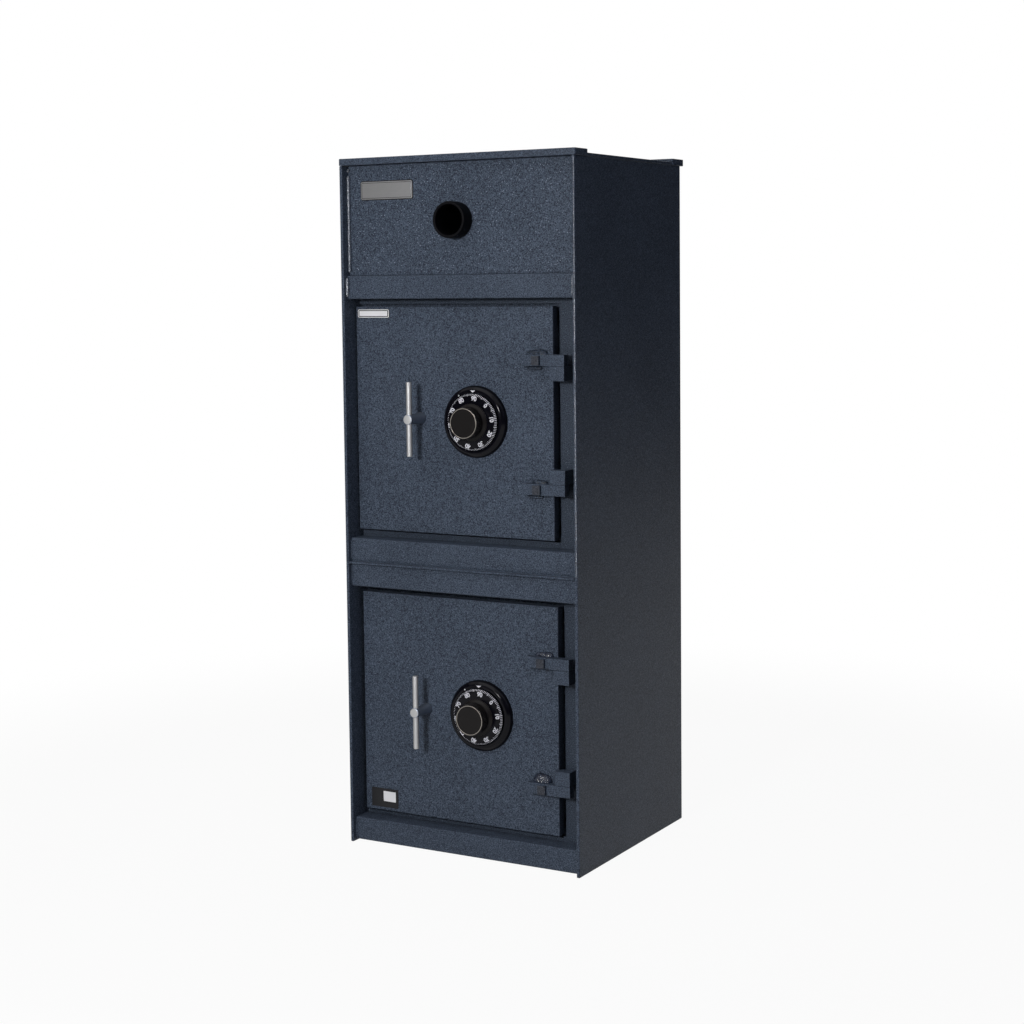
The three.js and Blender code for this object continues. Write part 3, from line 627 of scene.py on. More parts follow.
def box_points(low: np.ndarray, high: np.ndarray) -> tuple[np.ndarray, np.ndarray]:
    """Points and quads of many boxes at once.

    Args:
        low: Lowest corner of each box.
        high: Highest corner of each box.

    Returns:
        The eight points of each box, and its six quads.
    """
    pick = np.array([[i >> 2 & 1, i >> 1 & 1, i & 1] for i in range(8)])
    points = low[:, None] + (high - low)[:, None] * pick[None]
    sides = np.array([[0, 1, 3, 2], [4, 6, 7, 5], [0, 4, 5, 1], [2, 3, 7, 6], [0, 2, 6, 4], [1, 5, 7, 3]])
    faces = sides[None] + 8 * np.arange(len(low))[:, None, None]
    return points, faces.reshape(-1, 4)


def softened(node: str, width: float) -> bpy.types.Object:
    """Copy of a solid whose edges have the small radius of the real piece.

    Args:
        node: Name of the solid.
        width: Width of the eased edge.

    Returns:
        The copy, which stands for the solid.
    """
    copy = place_object(f"{node}_finished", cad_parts[node].data.copy())
    copy.data.materials.clear()
    cleaned(copy, flat=0.4)
    bevel = copy.modifiers.new("eased_edges", "BEVEL")
    bevel.width = width
    bevel.segments = 2
    bevel.limit_method = "ANGLE"
    bevel.angle_limit = math.radians(38)
    bevel.harden_normals = True
    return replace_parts(copy, node)


def dress(piece: bpy.types.Object, body: str, look: Look) -> bpy.types.Object:
    """Gives a piece its finish and its place in the moving model.

    Args:
        piece: Mesh object in its place at rest.
        body: Body that it moves with.
        look: Its finish.

    Returns:
        The same object.
    """
    piece.data.materials.clear()
    piece.data.materials.append(material(look))
    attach(piece, body)
    log.info("%s on %s, %s", piece.name, body, look.value)
    return piece


def middle(node: str) -> Vector:
    """Middle of a solid's box."""
    low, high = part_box(node)
    return (low + high) / 2


def profile_of(*points: tuple[float, float]) -> np.ndarray:
    """Profile in metres from radius and distance in millimetres."""
    return np.array(points, float) * MM


def stack_plates(name: str, centre: Point, layers: tuple[Layer, ...], edge: float, body: str) -> None:
    """Lays thin plates on a face, one over the other.

    Args:
        name: Start of the name of each.
        centre: Point on the face from which their middles are shifted.
        layers: Their measures.
        edge: Radius of their rims, in millimetres.
        body: Body that they ride on.
    """
    for layer in layers:
        dress(rounded_plate(name, centre, layer, edge), body, layer.look)


@dataclass(frozen=True)
class Weld:
    """Kind of weld on one body: the radius of its beads in millimetres, and their finish."""

    body: str
    radius: float
    look: Look = Look.PAINT

    def lay(self, name: str, start: Point, axis: Axis, stop: float, seed: int) -> None:
        """Lays a bead: a tube whose ripples lean like laid coins.

        The radius at distance s and angle t is R (0.86 + 0.14 |sin(pi (s / pitch + 0.3 cos t))|),
        times slow waves of a few hundredths and a round taper at both ends.

        Args:
            name: Name of the piece.
            start: One end.
            axis: Direction of the bead.
            stop: Coordinate of the other end on that axis.
            seed: Start of the random waves.
        """
        radius = self.radius * MM
        first, last = np.array(start, float), np.array(start, float)
        last[axis.value[2]] = stop
        length = float(np.linalg.norm(last - first))
        pitch = 1.5 * radius
        rows = max(int(length / pitch * 6), 12)
        direction = (last - first) / length
        side = np.cross(direction, (0.3, 0.5, 0.81))
        side /= np.linalg.norm(side)
        up = np.cross(direction, side)
        random = np.random.default_rng(seed)
        phases = random.uniform(0, TAU, 4)
        s = np.linspace(0, length, rows)
        t = np.linspace(0, TAU, 12, endpoint=False)
        ripple = 0.86 + 0.14 * np.abs(np.sin(math.pi * (s[:, None] / pitch + 0.3 * np.cos(t)[None, :])))
        waves = 1 + 0.05 * np.sin(s / 0.011 + phases[0]) + 0.04 * np.sin(s / 0.0043 + phases[1])
        edge = np.minimum(s, length - s) / (1.6 * radius)
        taper = np.sqrt(np.clip(1 - (1 - np.clip(edge, 0, 1)) ** 2, 0, 1))
        r = radius * ripple * (waves * taper)[:, None]
        round_part = np.cos(t)[None, :, None] * side + np.sin(t)[None, :, None] * up
        points = first + s[:, None, None] * direction + r[..., None] * round_part
        piece = make_piece(name, points.reshape(-1, 3), grid_quads(rows, len(t), True), 60)
        dress(piece, self.body, self.look)


# Sub-assemblies, with their sizes in millimetres


@dataclass
class Cabinet:
    """Shell, front rails, door frames and stops, with their welds and the bare nameplate."""

    wall_edge: float = 1.1
    plate_edge: float = 0.7
    sheet_edge: float = 0.35
    fillet: Weld = Weld("cabinet", 3.4)
    fillet_inset: float = 1.0
    # Glossy bead in the corner whose pale colour is a painted highlight.
    crest: Weld = Weld("cabinet", 2.1, Look.BRIGHT_WELD)
    crest_inset: float = 1.9
    crest_proud: float = 2.4
    panel_end: float = 4.0
    panel_gap: tuple[float, float] = (13.5, 9.0)
    rail_end: float = 3.0
    # Glossy bead rounding the right wall's outer corner; its pale colour is a painted highlight of that edge.
    corner: Weld = Weld("cabinet", 1.6, Look.WELD)
    corner_sink: float = 0.3
    seam: Weld = Weld("cabinet", 1.1)
    seam_inset: float = 0.11
    seam_proud: float = 0.22
    stitch: Weld = Weld("cabinet", 2.9, Look.WELD)
    stitch_length: float = 32.0
    badge_from_left: float = 65.5
    badge_from_foot: float = 119.5

    def __post_init__(self) -> None:
        """Takes the inner faces of the side walls from their solids."""
        self.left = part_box("left_side_wall")[1].x
        self.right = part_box("right_side_wall")[0].x

    def build(self) -> None:
        """Makes every fixed piece but the drop tube."""
        self._plates()
        self._wall_welds()
        self._seams()
        self._stitches()
        self._nameplate()

    def _plates(self) -> None:
        """Eases the edges of the plates and rails."""
        walls = ["left_side_wall", "right_side_wall"]
        thick = ["back_panel", "floor_plate", "top_plate"]
        thick += ["front_top_bar", "rear_top_bar", "divider_plate"]
        thick += [f"{door}_hinge_block_{end}" for door in DOORS for end in ENDS]
        thin = ["drop_chute", "toothed_baffle", "header_rail", "middle_rail_upper", "middle_rail_lower"]
        thin += ["bottom_rail"]
        recessed = [f"{door}_door_{part}" for door in DOORS for part in ("frame", "stop")]
        for nodes, width, look in (
            (walls, self.wall_edge, Look.PAINT),
            (thick, self.plate_edge, Look.PAINT),
            (thin, self.sheet_edge, Look.PAINT),
            # Door frames and stops take the darker coat, painted shade of the recess.
            (recessed, self.plate_edge, Look.RECESS),
            # Header panel takes the coat with stronger painted glints.
            (["header_panel"], self.plate_edge, Look.HEADER),
        ):
            for node in nodes:
                dress(softened(node, width * MM), "cabinet", look)

    def _wall_welds(self) -> None:
        """Lays the fillets, painted-highlight beads and seams that join the front plates to the side walls.
        """
        low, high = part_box("header_panel")
        rail_low, rail_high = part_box("header_rail")
        gap_foot, gap_head = self.panel_gap
        runs = (
            ("header_panel", low.z + self.panel_end * MM, high.z - gap_foot * MM),
            ("header_panel", high.z - gap_head * MM, high.z - self.panel_end * MM),
            ("header_rail", rail_low.z + self.rail_end * MM, rail_high.z - self.rail_end * MM),
        )
        for side, wall, inward in (("left", self.left, MM), ("right", self.right, -MM)):
            for number, (node, foot, head) in enumerate(runs):
                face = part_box(node)[0].y
                root = (wall + self.fillet_inset * inward, face, foot)
                self.fillet.lay(f"fillet_{side}_{node}_{number}", root, Axis.Z, head, 9)
                crest = (wall + self.crest_inset * inward, face - self.crest_proud * MM, foot)
                self.crest.lay(f"weld_{side}_{node}_{number}", crest, Axis.Z, head, number)
            for rail in ("middle_rail_upper", "middle_rail_lower", "bottom_rail"):
                low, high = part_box(rail)
                x, y = wall + self.seam_inset * inward, low.y - self.seam_proud * MM
                foot, head = low.z + self.rail_end * MM, high.z - self.rail_end * MM
                self.seam.lay(f"seam_{side}_{rail}", (x, y, foot), Axis.Z, head, 5)

    def _seams(self) -> None:
        """Lays the pale bead on the right wall's outer corner, a painted highlight along that edge, and the
        divider's seams.
        """
        low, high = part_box("right_side_wall")
        out, back = self.corner.radius + self.corner_sink, self.corner.radius - self.corner_sink
        foot = (high.x - out * MM, low.y + back * MM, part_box("divider_plate")[1].z)
        self.corner.lay("right_wall_corner", foot, Axis.Z, high.z - MM, 3)
        low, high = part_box("divider_plate")
        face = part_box("middle_rail_upper")[0].y
        for side, z in (("under", low.z), ("over", high.z)):
            self.seam.lay(f"seam_divider_{side}", (self.left, face, z), Axis.X, self.right, 7)

    def _stitches(self) -> None:
        """Lays short beads inside the compartments, on the floor plate and on the divider."""
        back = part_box("back_panel")[0].y
        length, inset = self.stitch_length * MM, 30 * MM
        nearest, deepest = -40 * MM, back - 50 * MM
        for plate in ("floor_plate", "divider_plate"):
            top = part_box(plate)[1].z
            for i, y in enumerate(np.linspace(nearest, deepest, 3)):
                for side, x in (("left", self.left), ("right", self.right)):
                    self.stitch.lay(f"stitch_{plate}_{side}_{i}", (x, y, top), Axis.Y, y + length, i)
            for i, x in enumerate(np.linspace(self.left + inset, self.right - inset - length, 4)):
                self.stitch.lay(f"stitch_{plate}_back_{i}", (x, back, top), Axis.X, x + length, i)

    def _nameplate(self) -> None:
        """Fixes the bare nameplate, with its dark surround and raised border, to the header panel."""
        low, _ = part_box("header_panel")
        centre = (low.x + self.badge_from_left * MM, low.y, low.z + self.badge_from_foot * MM)
        layers = (
            Layer("surround", (88.4, 27.4), 0.8, 3.4, Look.LABEL_DARK),
            Layer("rim", (86.0, 25.0), 1.5, 2.6, Look.NAMEPLATE),
            Layer("groove", (83.0, 22.0), 1.6, 1.4, Look.LABEL_DARK),
            Layer("field", (81.8, 20.8), 1.75, 1.0, Look.NAMEPLATE),
        )
        stack_plates("nameplate", centre, layers, 0.3, "cabinet")


@dataclass
class DropOpening:
    """Black tube with its rolled collar, through which deposits drop."""

    bore: float = 21.2
    collar: float = 25.4
    pipe: float = 23.8
    lip: float = 2.0
    clearance: float = 0.3

    def build(self) -> None:
        """Makes the tube, turned smooth, in place of the solid one."""
        low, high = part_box("drop_tube")
        centre = middle("drop_tube")
        length = (high.y - low.y) / MM
        collar_back = (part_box("header_panel")[0].y - low.y) / MM - self.clearance
        outside = profile_of(
            (self.bore, length), (self.bore, 0), (self.collar, 0), (self.collar, collar_back),
            (self.pipe, collar_back), (self.pipe, length),
        )
        rounded = eased(outside, self.lip * MM, 7)
        tube = turned("drop_tube_turned", (centre.x, low.y, centre.z), rounded)
        dress(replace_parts(tube, "drop_tube"), "cabinet", Look.PLASTIC)


@dataclass
class DoorAssembly:
    """What the sub-assemblies of a door share."""

    door: str

    @property
    def leaf(self) -> str:
        """Body of the door itself."""
        return f"{self.door}_door"

    def ease(self, part: str, width: float, body: str, look: Look) -> None:
        """Dresses one of the door's solids, with eased edges of a width in millimetres."""
        dress(softened(f"{self.door}_{part}", width * MM), body, look)


class Lump(NamedTuple):
    """Heavy lump along a strap: its start and stop from the strap's tip, its radius and its lift."""

    start: float
    stop: float
    radius: float
    lift: float


STRAP_LUMPS = {
    ("upper", "top"): Lump(3, 37, 7.0, 0.2),
    ("upper", "bottom"): Lump(8, 35, 5.6, 0.0),
    ("lower", "top"): Lump(8, 38, 6.6, 0.2),
    ("lower", "bottom"): Lump(4, 34, 12.6, 1.6),
}


@dataclass
class DoorLeaf(DoorAssembly):
    """One door: plates, straps, hook bar, their welds and the bare label."""

    plate_edge: float = 0.8
    small_edge: float = 0.45
    seam: float = 1.1
    seam_end: float = 2.0
    seam_stop: float = 8.0
    # Dark lump along the lower edge of each upper strap, in the hinge weld's tone.
    patch: Lump = Lump(4, 28, 3.4, -3.4)
    stub_from_end: float = 36.7
    stub_size: tuple[float, float] = (11.8, 12.6)
    pale_label: tuple[float, float] = (30.0, 9.7)
    dark_label: tuple[float, float] = (33.0, 18.6)
    stitch: float = 1.7
    stitch_length: float = 26.0

    def build(self) -> None:
        """Makes the leaf."""
        self.ease("door_plate", self.plate_edge, self.leaf, Look.PAINT)
        for part in ("inner_plate", "jamb_hook_bar", "hinge_strap_top", "hinge_strap_bottom"):
            self.ease(part, self.small_edge, self.leaf, Look.PAINT)
        self._strap_welds()
        self._inside_welds()
        self._label()

    def _strap_welds(self) -> None:
        """Lays the seams round each strap and its lumps of weld, and faces its square stub."""
        low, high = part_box(f"{self.door}_door_plate")
        face, edge = low.y, high.x - self.seam_stop * MM
        seam, end_gap = Weld(self.leaf, self.seam), self.seam_end * MM
        stub_face = Layer("stub_face", self.stub_size, 0.3, 0.6, Look.STUB)
        # Lower door's lumps take the darker copy of the weld, painted shade.
        lump_look = Look.LUMP if self.door == "upper" else Look.DARK_LUMP
        for number, end in enumerate(ENDS):
            low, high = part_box(f"{self.door}_hinge_strap_{end}")
            name = f"weld_{self.door}_strap_{end}"
            seam.lay(f"{name}_under", (low.x + end_gap, face, low.z), Axis.X, edge, number)
            seam.lay(f"{name}_tip", (low.x, face, low.z + end_gap), Axis.Z, high.z - end_gap, 5)
            lump = STRAP_LUMPS[self.door, end]
            self._lay_lump(f"{name}_over", lump, (low.x, face, high.z), lump_look, number)
            # On the upper door a dark lump also runs along the strap's lower edge.
            if self.door == "upper":
                self._lay_lump(f"{name}_patch", self.patch, (low.x, face, low.z), lump_look, number)
            stub = (high.x - (self.stub_from_end + self.stub_size[0] / 2) * MM, low.y, (low.z + high.z) / 2)
            stack_plates(name, stub, (stub_face,), 0.15, self.leaf)

    def _lay_lump(self, name: str, lump: Lump, tip: Point, look: Look, seed: int) -> None:
        """Lays a heavy lump.

        Args:
            name: Name of the piece.
            lump: Its measures.
            tip: Point on the strap's tip that they count from.
            look: Its finish.
            seed: Start of the random waves.
        """
        x, y, z = tip
        start = (x + lump.start * MM, y, z + lump.lift * MM)
        Weld(self.leaf, lump.radius, look).lay(name, start, Axis.X, x + lump.stop * MM, seed)

    def _inside_welds(self) -> None:
        """Lays stitches along the hook bar and the bolt guide."""
        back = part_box(f"{self.door}_inner_plate")[1].y
        stitch = Weld(self.leaf, self.stitch, Look.WELD)
        length, inset = self.stitch_length * MM, 6 * MM
        hook_low, hook_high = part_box(f"{self.door}_jamb_hook_bar")
        guide_low, guide_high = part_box(f"{self.door}_bolt_guide")
        for name, x, low, high in (
            ("hook", hook_low.x, hook_low.z, hook_high.z),
            ("guide", guide_high.x, guide_low.z, guide_high.z),
        ):
            for i, z in enumerate(np.linspace(low + inset, high - inset - length, 4)):
                stitch.lay(f"stitch_{self.door}_{name}_{i}", (x, back, z), Axis.Z, z + length, i)

    def _label(self) -> None:
        """Puts a bare pale label on the upper door and a bare dark one on the lower."""
        low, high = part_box(f"{self.door}_door_plate")
        if self.door == "upper":
            right, down = self.pale_label
            centre = (low.x + right * MM, low.y, high.z - down * MM)
            layers = (
                Layer("surround", (54.4, 13.2), 0.35, 2.6, Look.LABEL_DARK),
                Layer("rim", (52.6, 11.6), 0.55, 2.0, Look.LABEL_PALE),
                Layer("keyline", (50.6, 9.6), 0.62, 1.2, Look.LABEL_DARK),
                Layer("field", (48.0, 7.2), 0.7, 0.8, Look.LABEL_PALE),
            )
        else:
            right, up = self.dark_label
            centre = (low.x + right * MM, low.y, low.z + up * MM)
            layers = (
                Layer("backing", (46, 28), 0.4, 1.2, Look.LABEL_DARK),
                Layer("field", (21, 15), 0.5, 0.6, Look.LABEL_PALE, shift=(8, 2.5)),
            )
        stack_plates(f"{self.door}_label", centre, layers, 0.12, self.leaf)


@dataclass
class THandle(DoorAssembly):
    """T-handle: turned shank, turned crossbar, and the crank behind the door."""

    shank_radius: float = 7.15
    flare: float = 1.4
    spigot_radius: float = 5.0
    bar_radius: float = 4.05
    crank_edge: float = 0.4

    @property
    def body(self) -> str:
        """Body that turns."""
        return f"{self.door}_handle"

    def build(self) -> None:
        """Makes the handle's pieces."""
        self._shank()
        self._crossbar()
        self._crank()

    def _shank(self) -> None:
        """Turns the satin shank, flared towards the door, with its bright front, and the bush round it."""
        node = f"{self.door}_handle_shank"
        low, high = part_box(node)
        centre = middle(node)
        place = (centre.x, low.y, centre.z)
        length = (high.y - low.y) / MM
        door_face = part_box(f"{self.door}_door_plate")[0].y
        proud = (door_face - low.y) / MM
        neck = (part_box(f"{self.door}_handle_crank")[0].y - low.y) / MM - 0.3
        r, flared, spigot = self.shank_radius, self.shank_radius + self.flare, self.spigot_radius
        head = profile_of(
            (0, 0.2), (0.5 * r, 0.2), (r, 0.3), (r, 0.45 * proud), (flared, proud - 0.4), (r, proud - 0.2),
        )
        tail = profile_of((r, neck), (spigot, neck), (spigot, length), (0, length))
        profile = np.vstack([eased(head, 1.2 * MM, 8), eased(tail, 0.6 * MM)])
        shank = turned(f"{node}_turned", place, profile, sides=72)
        # The shank's steel is tinted blue-grey as a painted reflection of the door.
        dress(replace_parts(shank, node), self.body, Look.POLISHED)
        face = eased(profile_of((0, 0), (r - 1.1, 0.05), (r - 0.8, 0.6), (0, 0.6)), 0.3 * MM)
        dress(turned(f"{node}_face", place, face, sides=72), self.body, Look.STAINLESS)
        bush = profile_of((r + 0.15, 0.1), (r + 0.9, 0.1), (r + 0.9, 3), (r + 0.15, 3))
        sleeve = turned(f"{self.door}_shank_bush", (centre.x, door_face, centre.z), bush, sides=72)
        dress(sleeve, self.leaf, Look.PAINT)

    def _crossbar(self) -> None:
        """Turns the crossbar with rounded ends."""
        node = f"{self.door}_handle_crossbar"
        low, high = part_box(node)
        centre = middle(node)
        length = (high.z - low.z) / MM
        r = self.bar_radius
        profile = profile_of((0, 0), (r, 0), (r, length), (0, length))
        bar = turned(f"{node}_turned", (centre.x, centre.y, low.z), eased(profile, 1.1 * MM, 7), Axis.Z, 48)
        dress(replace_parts(bar, node), self.body, Look.STAINLESS)

    def _crank(self) -> None:
        """Eases the crank and puts a spring washer on the spigot's end."""
        self.ease("handle_crank", self.crank_edge, self.body, Look.ZINC)
        centre = middle(f"{self.door}_handle_shank")
        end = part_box(f"{self.door}_handle_shank")[1].y
        profile = eased(profile_of((4.2, -0.2), (7.4, -0.2), (7.4, 0.9), (4.2, 0.9)), 0.2 * MM, 3)
        washer = turned(f"{self.door}_crank_washer", (centre.x, end, centre.z), profile, sides=36)
        dress(washer, self.body, Look.STEEL)


@dataclass
class Boltwork(DoorAssembly):
    """Carrier with its locking bolts, and the guide that they slide in."""

    carrier_edge: float = 0.5
    small_edge: float = 0.3

    def build(self) -> None:
        """Eases the solids' edges and gives each its metal."""
        moving = f"{self.door}_boltwork"
        self.ease("bolt_carrier", self.carrier_edge, moving, Look.ZINC)
        for end in ENDS:
            self.ease(f"locking_bolt_{end}", self.small_edge, moving, Look.STEEL)
        self.ease("bolt_guide", self.small_edge, self.leaf, Look.ZINC)


@dataclass
class CombinationLock(DoorAssembly):
    """Dial ring, numbered dial with its knob, and the lock behind the door."""

    zero_turn: float = 45
    mark_count: int = 100
    number_step: int = 10
    disc_radius: float = 40.0
    flat_radius: float = 36.4
    bevel_depth: float = 4.0
    disc_behind_knob: float = 21.5
    number_radius: float = 33.2
    number_size: float = 8.6
    number_relief: float = 0.16
    mark_half_widths: tuple[float, float, float] = (0.5, 0.42, 0.32)
    mark_end: float = 39.6
    mark_relief: tuple[float, float] = (-0.10, 0.14)
    knob_radius: float = 22.8
    skirt_radius: float = 26.0

    def __post_init__(self) -> None:
        """Takes the dial's place from its solid."""
        self.centre = middle(f"{self.door}_dial")
        self.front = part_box(f"{self.door}_dial")[0].y
        self.ring_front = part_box(f"{self.door}_dial_ring")[0].y
        self.disc_front = self.front + self.disc_behind_knob * MM

    @property
    def spinning(self) -> str:
        """Body of the dial."""
        return f"{self.door}_dial"

    def build(self) -> None:
        """Makes the pieces in front of the door, then those behind it."""
        self._ring()
        self._dial()
        self._knob()
        self._graduations()
        self._numbers()
        self._index()
        self._behind()

    def _ring(self) -> None:
        """Turns the dial ring with its sloping rim."""
        node = f"{self.door}_dial_ring"
        low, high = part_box(node)
        depth = (high.y - low.y) / MM
        profile = profile_of(
            (40.8, depth), (40.8, 0), (44.2, 0), (45.6, 0.35), (49.0, 2.9), (50.5, 5.4), (50.8, depth),
        )
        rounded = eased(profile, 0.7 * MM)
        ring = turned(f"{node}_turned", (self.centre.x, low.y, self.centre.z), rounded, sides=144)
        dress(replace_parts(ring, node), self.leaf, Look.GLOSS_BLACK)

    def _dial(self) -> None:
        """Turns the disc with its bevelled rim."""
        disc, flat, depth = self.disc_radius, self.flat_radius, self.bevel_depth
        profile = profile_of((0, 0), (flat, 0), (disc, depth), (disc, 8), (4.3, 8), (4.3, 2), (0, 2))
        place = (self.centre.x, self.disc_front, self.centre.z)
        dial = turned(f"{self.door}_dial_disc", place, eased(profile, 0.5 * MM), sides=144)
        dress(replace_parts(dial, f"{self.door}_dial"), self.spinning, Look.GLOSS_BLACK)

    def _knob(self) -> None:
        """Turns the fluted knob, the bare inlay of its face and the thin ring round that."""
        r, skirt = self.knob_radius, self.skirt_radius
        profile = profile_of(
            (0, 0.5), (r - 1.9, 0.5), (r - 1.9, 0), (r - 0.5, 0), (r, 9), (r - 1.1, 10.8), (r - 1.7, 13),
            (r - 0.9, 17), (skirt, 20.5), (skirt, 21.8), (0, 21.8),
        )
        place = (self.centre.x, self.front, self.centre.z)
        flutes = (60, 0.025, 1.5 * MM, 9.5 * MM)
        rows = eased(profile, 0.9 * MM)
        knob = turned(f"{self.door}_knob", place, rows, sides=360, flutes=flutes)
        dress(knob, self.spinning, Look.KNOB)
        ring = profile_of((20.0, 0.7), (20.0, 0.1), (20.9, 0.1), (20.9, 0.7))
        line = turned(f"{self.door}_knob_ring", place, eased(ring, 0.15 * MM, 3), sides=96)
        dress(line, self.spinning, Look.PEWTER)

    def _graduations(self) -> None:
        """Raises the marks on the bevel, and those of the tens on the flat too.

        Mark k stands at angle 360 k / n. Its box runs from an inner radius that depends on the mark
        to an outer one, lies on the bevel's slope, and is turned by its angle about the axis.
        """
        number = np.arange(self.mark_count)
        ten, five = number % self.number_step == 0, number % (self.number_step // 2) == 0
        flat = self.flat_radius + 0.1
        inner = np.where(ten | five, flat + 0.2, flat + 0.9)
        wide, medium, narrow = self.mark_half_widths
        half_width = np.where(ten, wide, np.where(five, medium, narrow))
        outer = np.full(self.mark_count, self.mark_end)
        number = np.concatenate([number, number[ten]])
        inner = np.concatenate([inner, np.full(ten.sum(), flat - 0.9)])
        outer = np.concatenate([outer, np.full(ten.sum(), flat)])
        half_width = np.concatenate([half_width, half_width[ten]])
        sunk, proud = self.mark_relief
        low = np.stack([-half_width, inner, np.full_like(inner, sunk)], axis=-1) * MM
        high = np.stack([half_width, outer, np.full_like(inner, proud)], axis=-1) * MM
        points, faces = box_points(low, high)
        slope = self.bevel_depth / (self.disc_radius - self.flat_radius)
        across, radius, height = points[..., 0], points[..., 1], points[..., 2]
        sink = np.maximum(radius - self.flat_radius * MM, 0) * slope
        angle = self._angle(number)[:, None]
        world = np.empty_like(points)
        world[..., 0] = self.centre.x + radius * np.sin(angle) + across * np.cos(angle)
        world[..., 1] = self.disc_front + sink - height
        world[..., 2] = self.centre.z + radius * np.cos(angle) - across * np.sin(angle)
        marks = make_piece(f"{self.door}_graduations", world.reshape(-1, 3), faces)
        dress(marks, self.spinning, Look.WHITE)

    def _angle(self, number: np.ndarray) -> np.ndarray:
        """Clockwise angle from the top of each mark, as the dial is seen."""
        return np.radians(self.zero_turn) + TAU * number / self.mark_count

    def _numbers(self) -> None:
        """Sets the numbers of every tenth mark upright to the rim.

        A letter's point (u, v, w) lies at centre + u T + (R + v) N - w Y, with N outward and T
        clockwise at the mark's angle.
        """
        points, faces, count = [], [], 0
        for value in range(0, self.mark_count, self.number_step):
            letters, letter_faces = self._letters(str(value), self.number_size * MM, self.number_relief * MM)
            angle = float(self._angle(np.array(value)))
            outward = np.array([math.sin(angle), 0, math.cos(angle)])
            along = np.array([math.cos(angle), 0, -math.sin(angle)])
            u, v, w = letters.T
            origin = np.array([self.centre.x, self.disc_front - 0.02 * MM, self.centre.z])
            place = origin + u[:, None] * along + (self.number_radius * MM + v)[:, None] * outward
            points.append(place - w[:, None] * np.array([0, 1, 0]))
            faces += [[i + count for i in face] for face in letter_faces]
            count += len(u)
        numbers = place_mesh(f"{self.door}_numbers", np.vstack(points), faces)
        dress(cleaned(numbers), self.spinning, Look.WHITE)

    @staticmethod
    def _letters(text: str, size: float, thickness: float) -> tuple[np.ndarray, list[list[int]]]:
        """Solid letters about their own middle.

        Args:
            text: What they say.
            size: Height of the type.
            thickness: Distance from back to front.

        Returns:
            Points, with the front towards +w, and faces.
        """
        curve = bpy.data.curves.new("type", "FONT")
        curve.body = text
        curve.size = size
        curve.extrude = thickness
        curve.offset = 0.022 * size
        curve.resolution_u = 3
        curve.align_x = "CENTER"
        curve.align_y = "CENTER"
        carrier = place_object("type", curve)
        bpy.context.view_layer.update()
        mesh = bpy.data.meshes.new_from_object(carrier)
        points = np.empty(len(mesh.vertices) * 3)
        mesh.vertices.foreach_get("co", points)
        faces = [list(polygon.vertices) for polygon in mesh.polygons]
        bpy.data.objects.remove(carrier)
        bpy.data.curves.remove(curve)
        bpy.data.meshes.remove(mesh)
        return points.reshape(-1, 3), faces

    def _index(self) -> None:
        """Sets the pointer at the top of the ring's lip and the small dot to its left."""
        x, y, z = self.centre.x, self.ring_front, self.centre.z
        across, up = np.array([(-4.0, 44.1), (4.0, 44.1), (0, 41.1)]).T * MM
        front = np.stack([x + across, np.full(3, y - 0.12 * MM), z + up], axis=-1)
        back = front + (0, 0.5 * MM, 0)
        rim = [[0, 3, 4], [0, 4, 1], [1, 4, 5], [1, 5, 2], [2, 5, 3], [2, 3, 0]]
        faces = np.array([[0, 1, 2], [5, 4, 3], *rim])
        pointer = make_piece(f"{self.door}_index", np.vstack([front, back]), faces)
        dress(pointer, self.leaf, Look.WHITE)
        turn, radius = math.radians(-32), 42.8 * MM
        place = (x + radius * math.sin(turn), y, z + radius * math.cos(turn))
        profile = profile_of((0, -0.12), (0.9, -0.12), (0.9, 0.4), (0, 0.4))
        dress(turned(f"{self.door}_side_index", place, profile, sides=24), self.leaf, Look.WHITE)

    def _behind(self) -> None:
        """Eases the lock's case, cover, bolt and cam, and puts a screw in each corner of the cover."""
        for part, body, look, width in (
            ("lock_case", self.leaf, Look.ZINC, 0.8),
            ("lock_cover", self.leaf, Look.ZINC, 0.7),
            ("lock_bolt", f"{self.door}_lock_bolt", Look.BRASS, 0.5),
            ("spindle_and_cam", self.spinning, Look.BRASS, 0.3),
        ):
            self.ease(part, width, body, look)
        low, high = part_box(f"{self.door}_lock_cover")
        inset = 5 * MM
        head = profile_of((0, 0.9), (1.6, 0.9), (1.6, 2.3), (3.4, 1.9), (3.6, 0), (0, 0))
        profile = eased(head, 0.3 * MM, 4)
        for i, x in enumerate((low.x + inset, high.x - inset)):
            for j, z in enumerate((low.z + inset, high.z - inset)):
                screw = turned(f"{self.door}_cover_screw_{i}{j}", (x, high.y, z), profile, sides=24)
                dress(screw, self.leaf, Look.STEEL)


# Studio


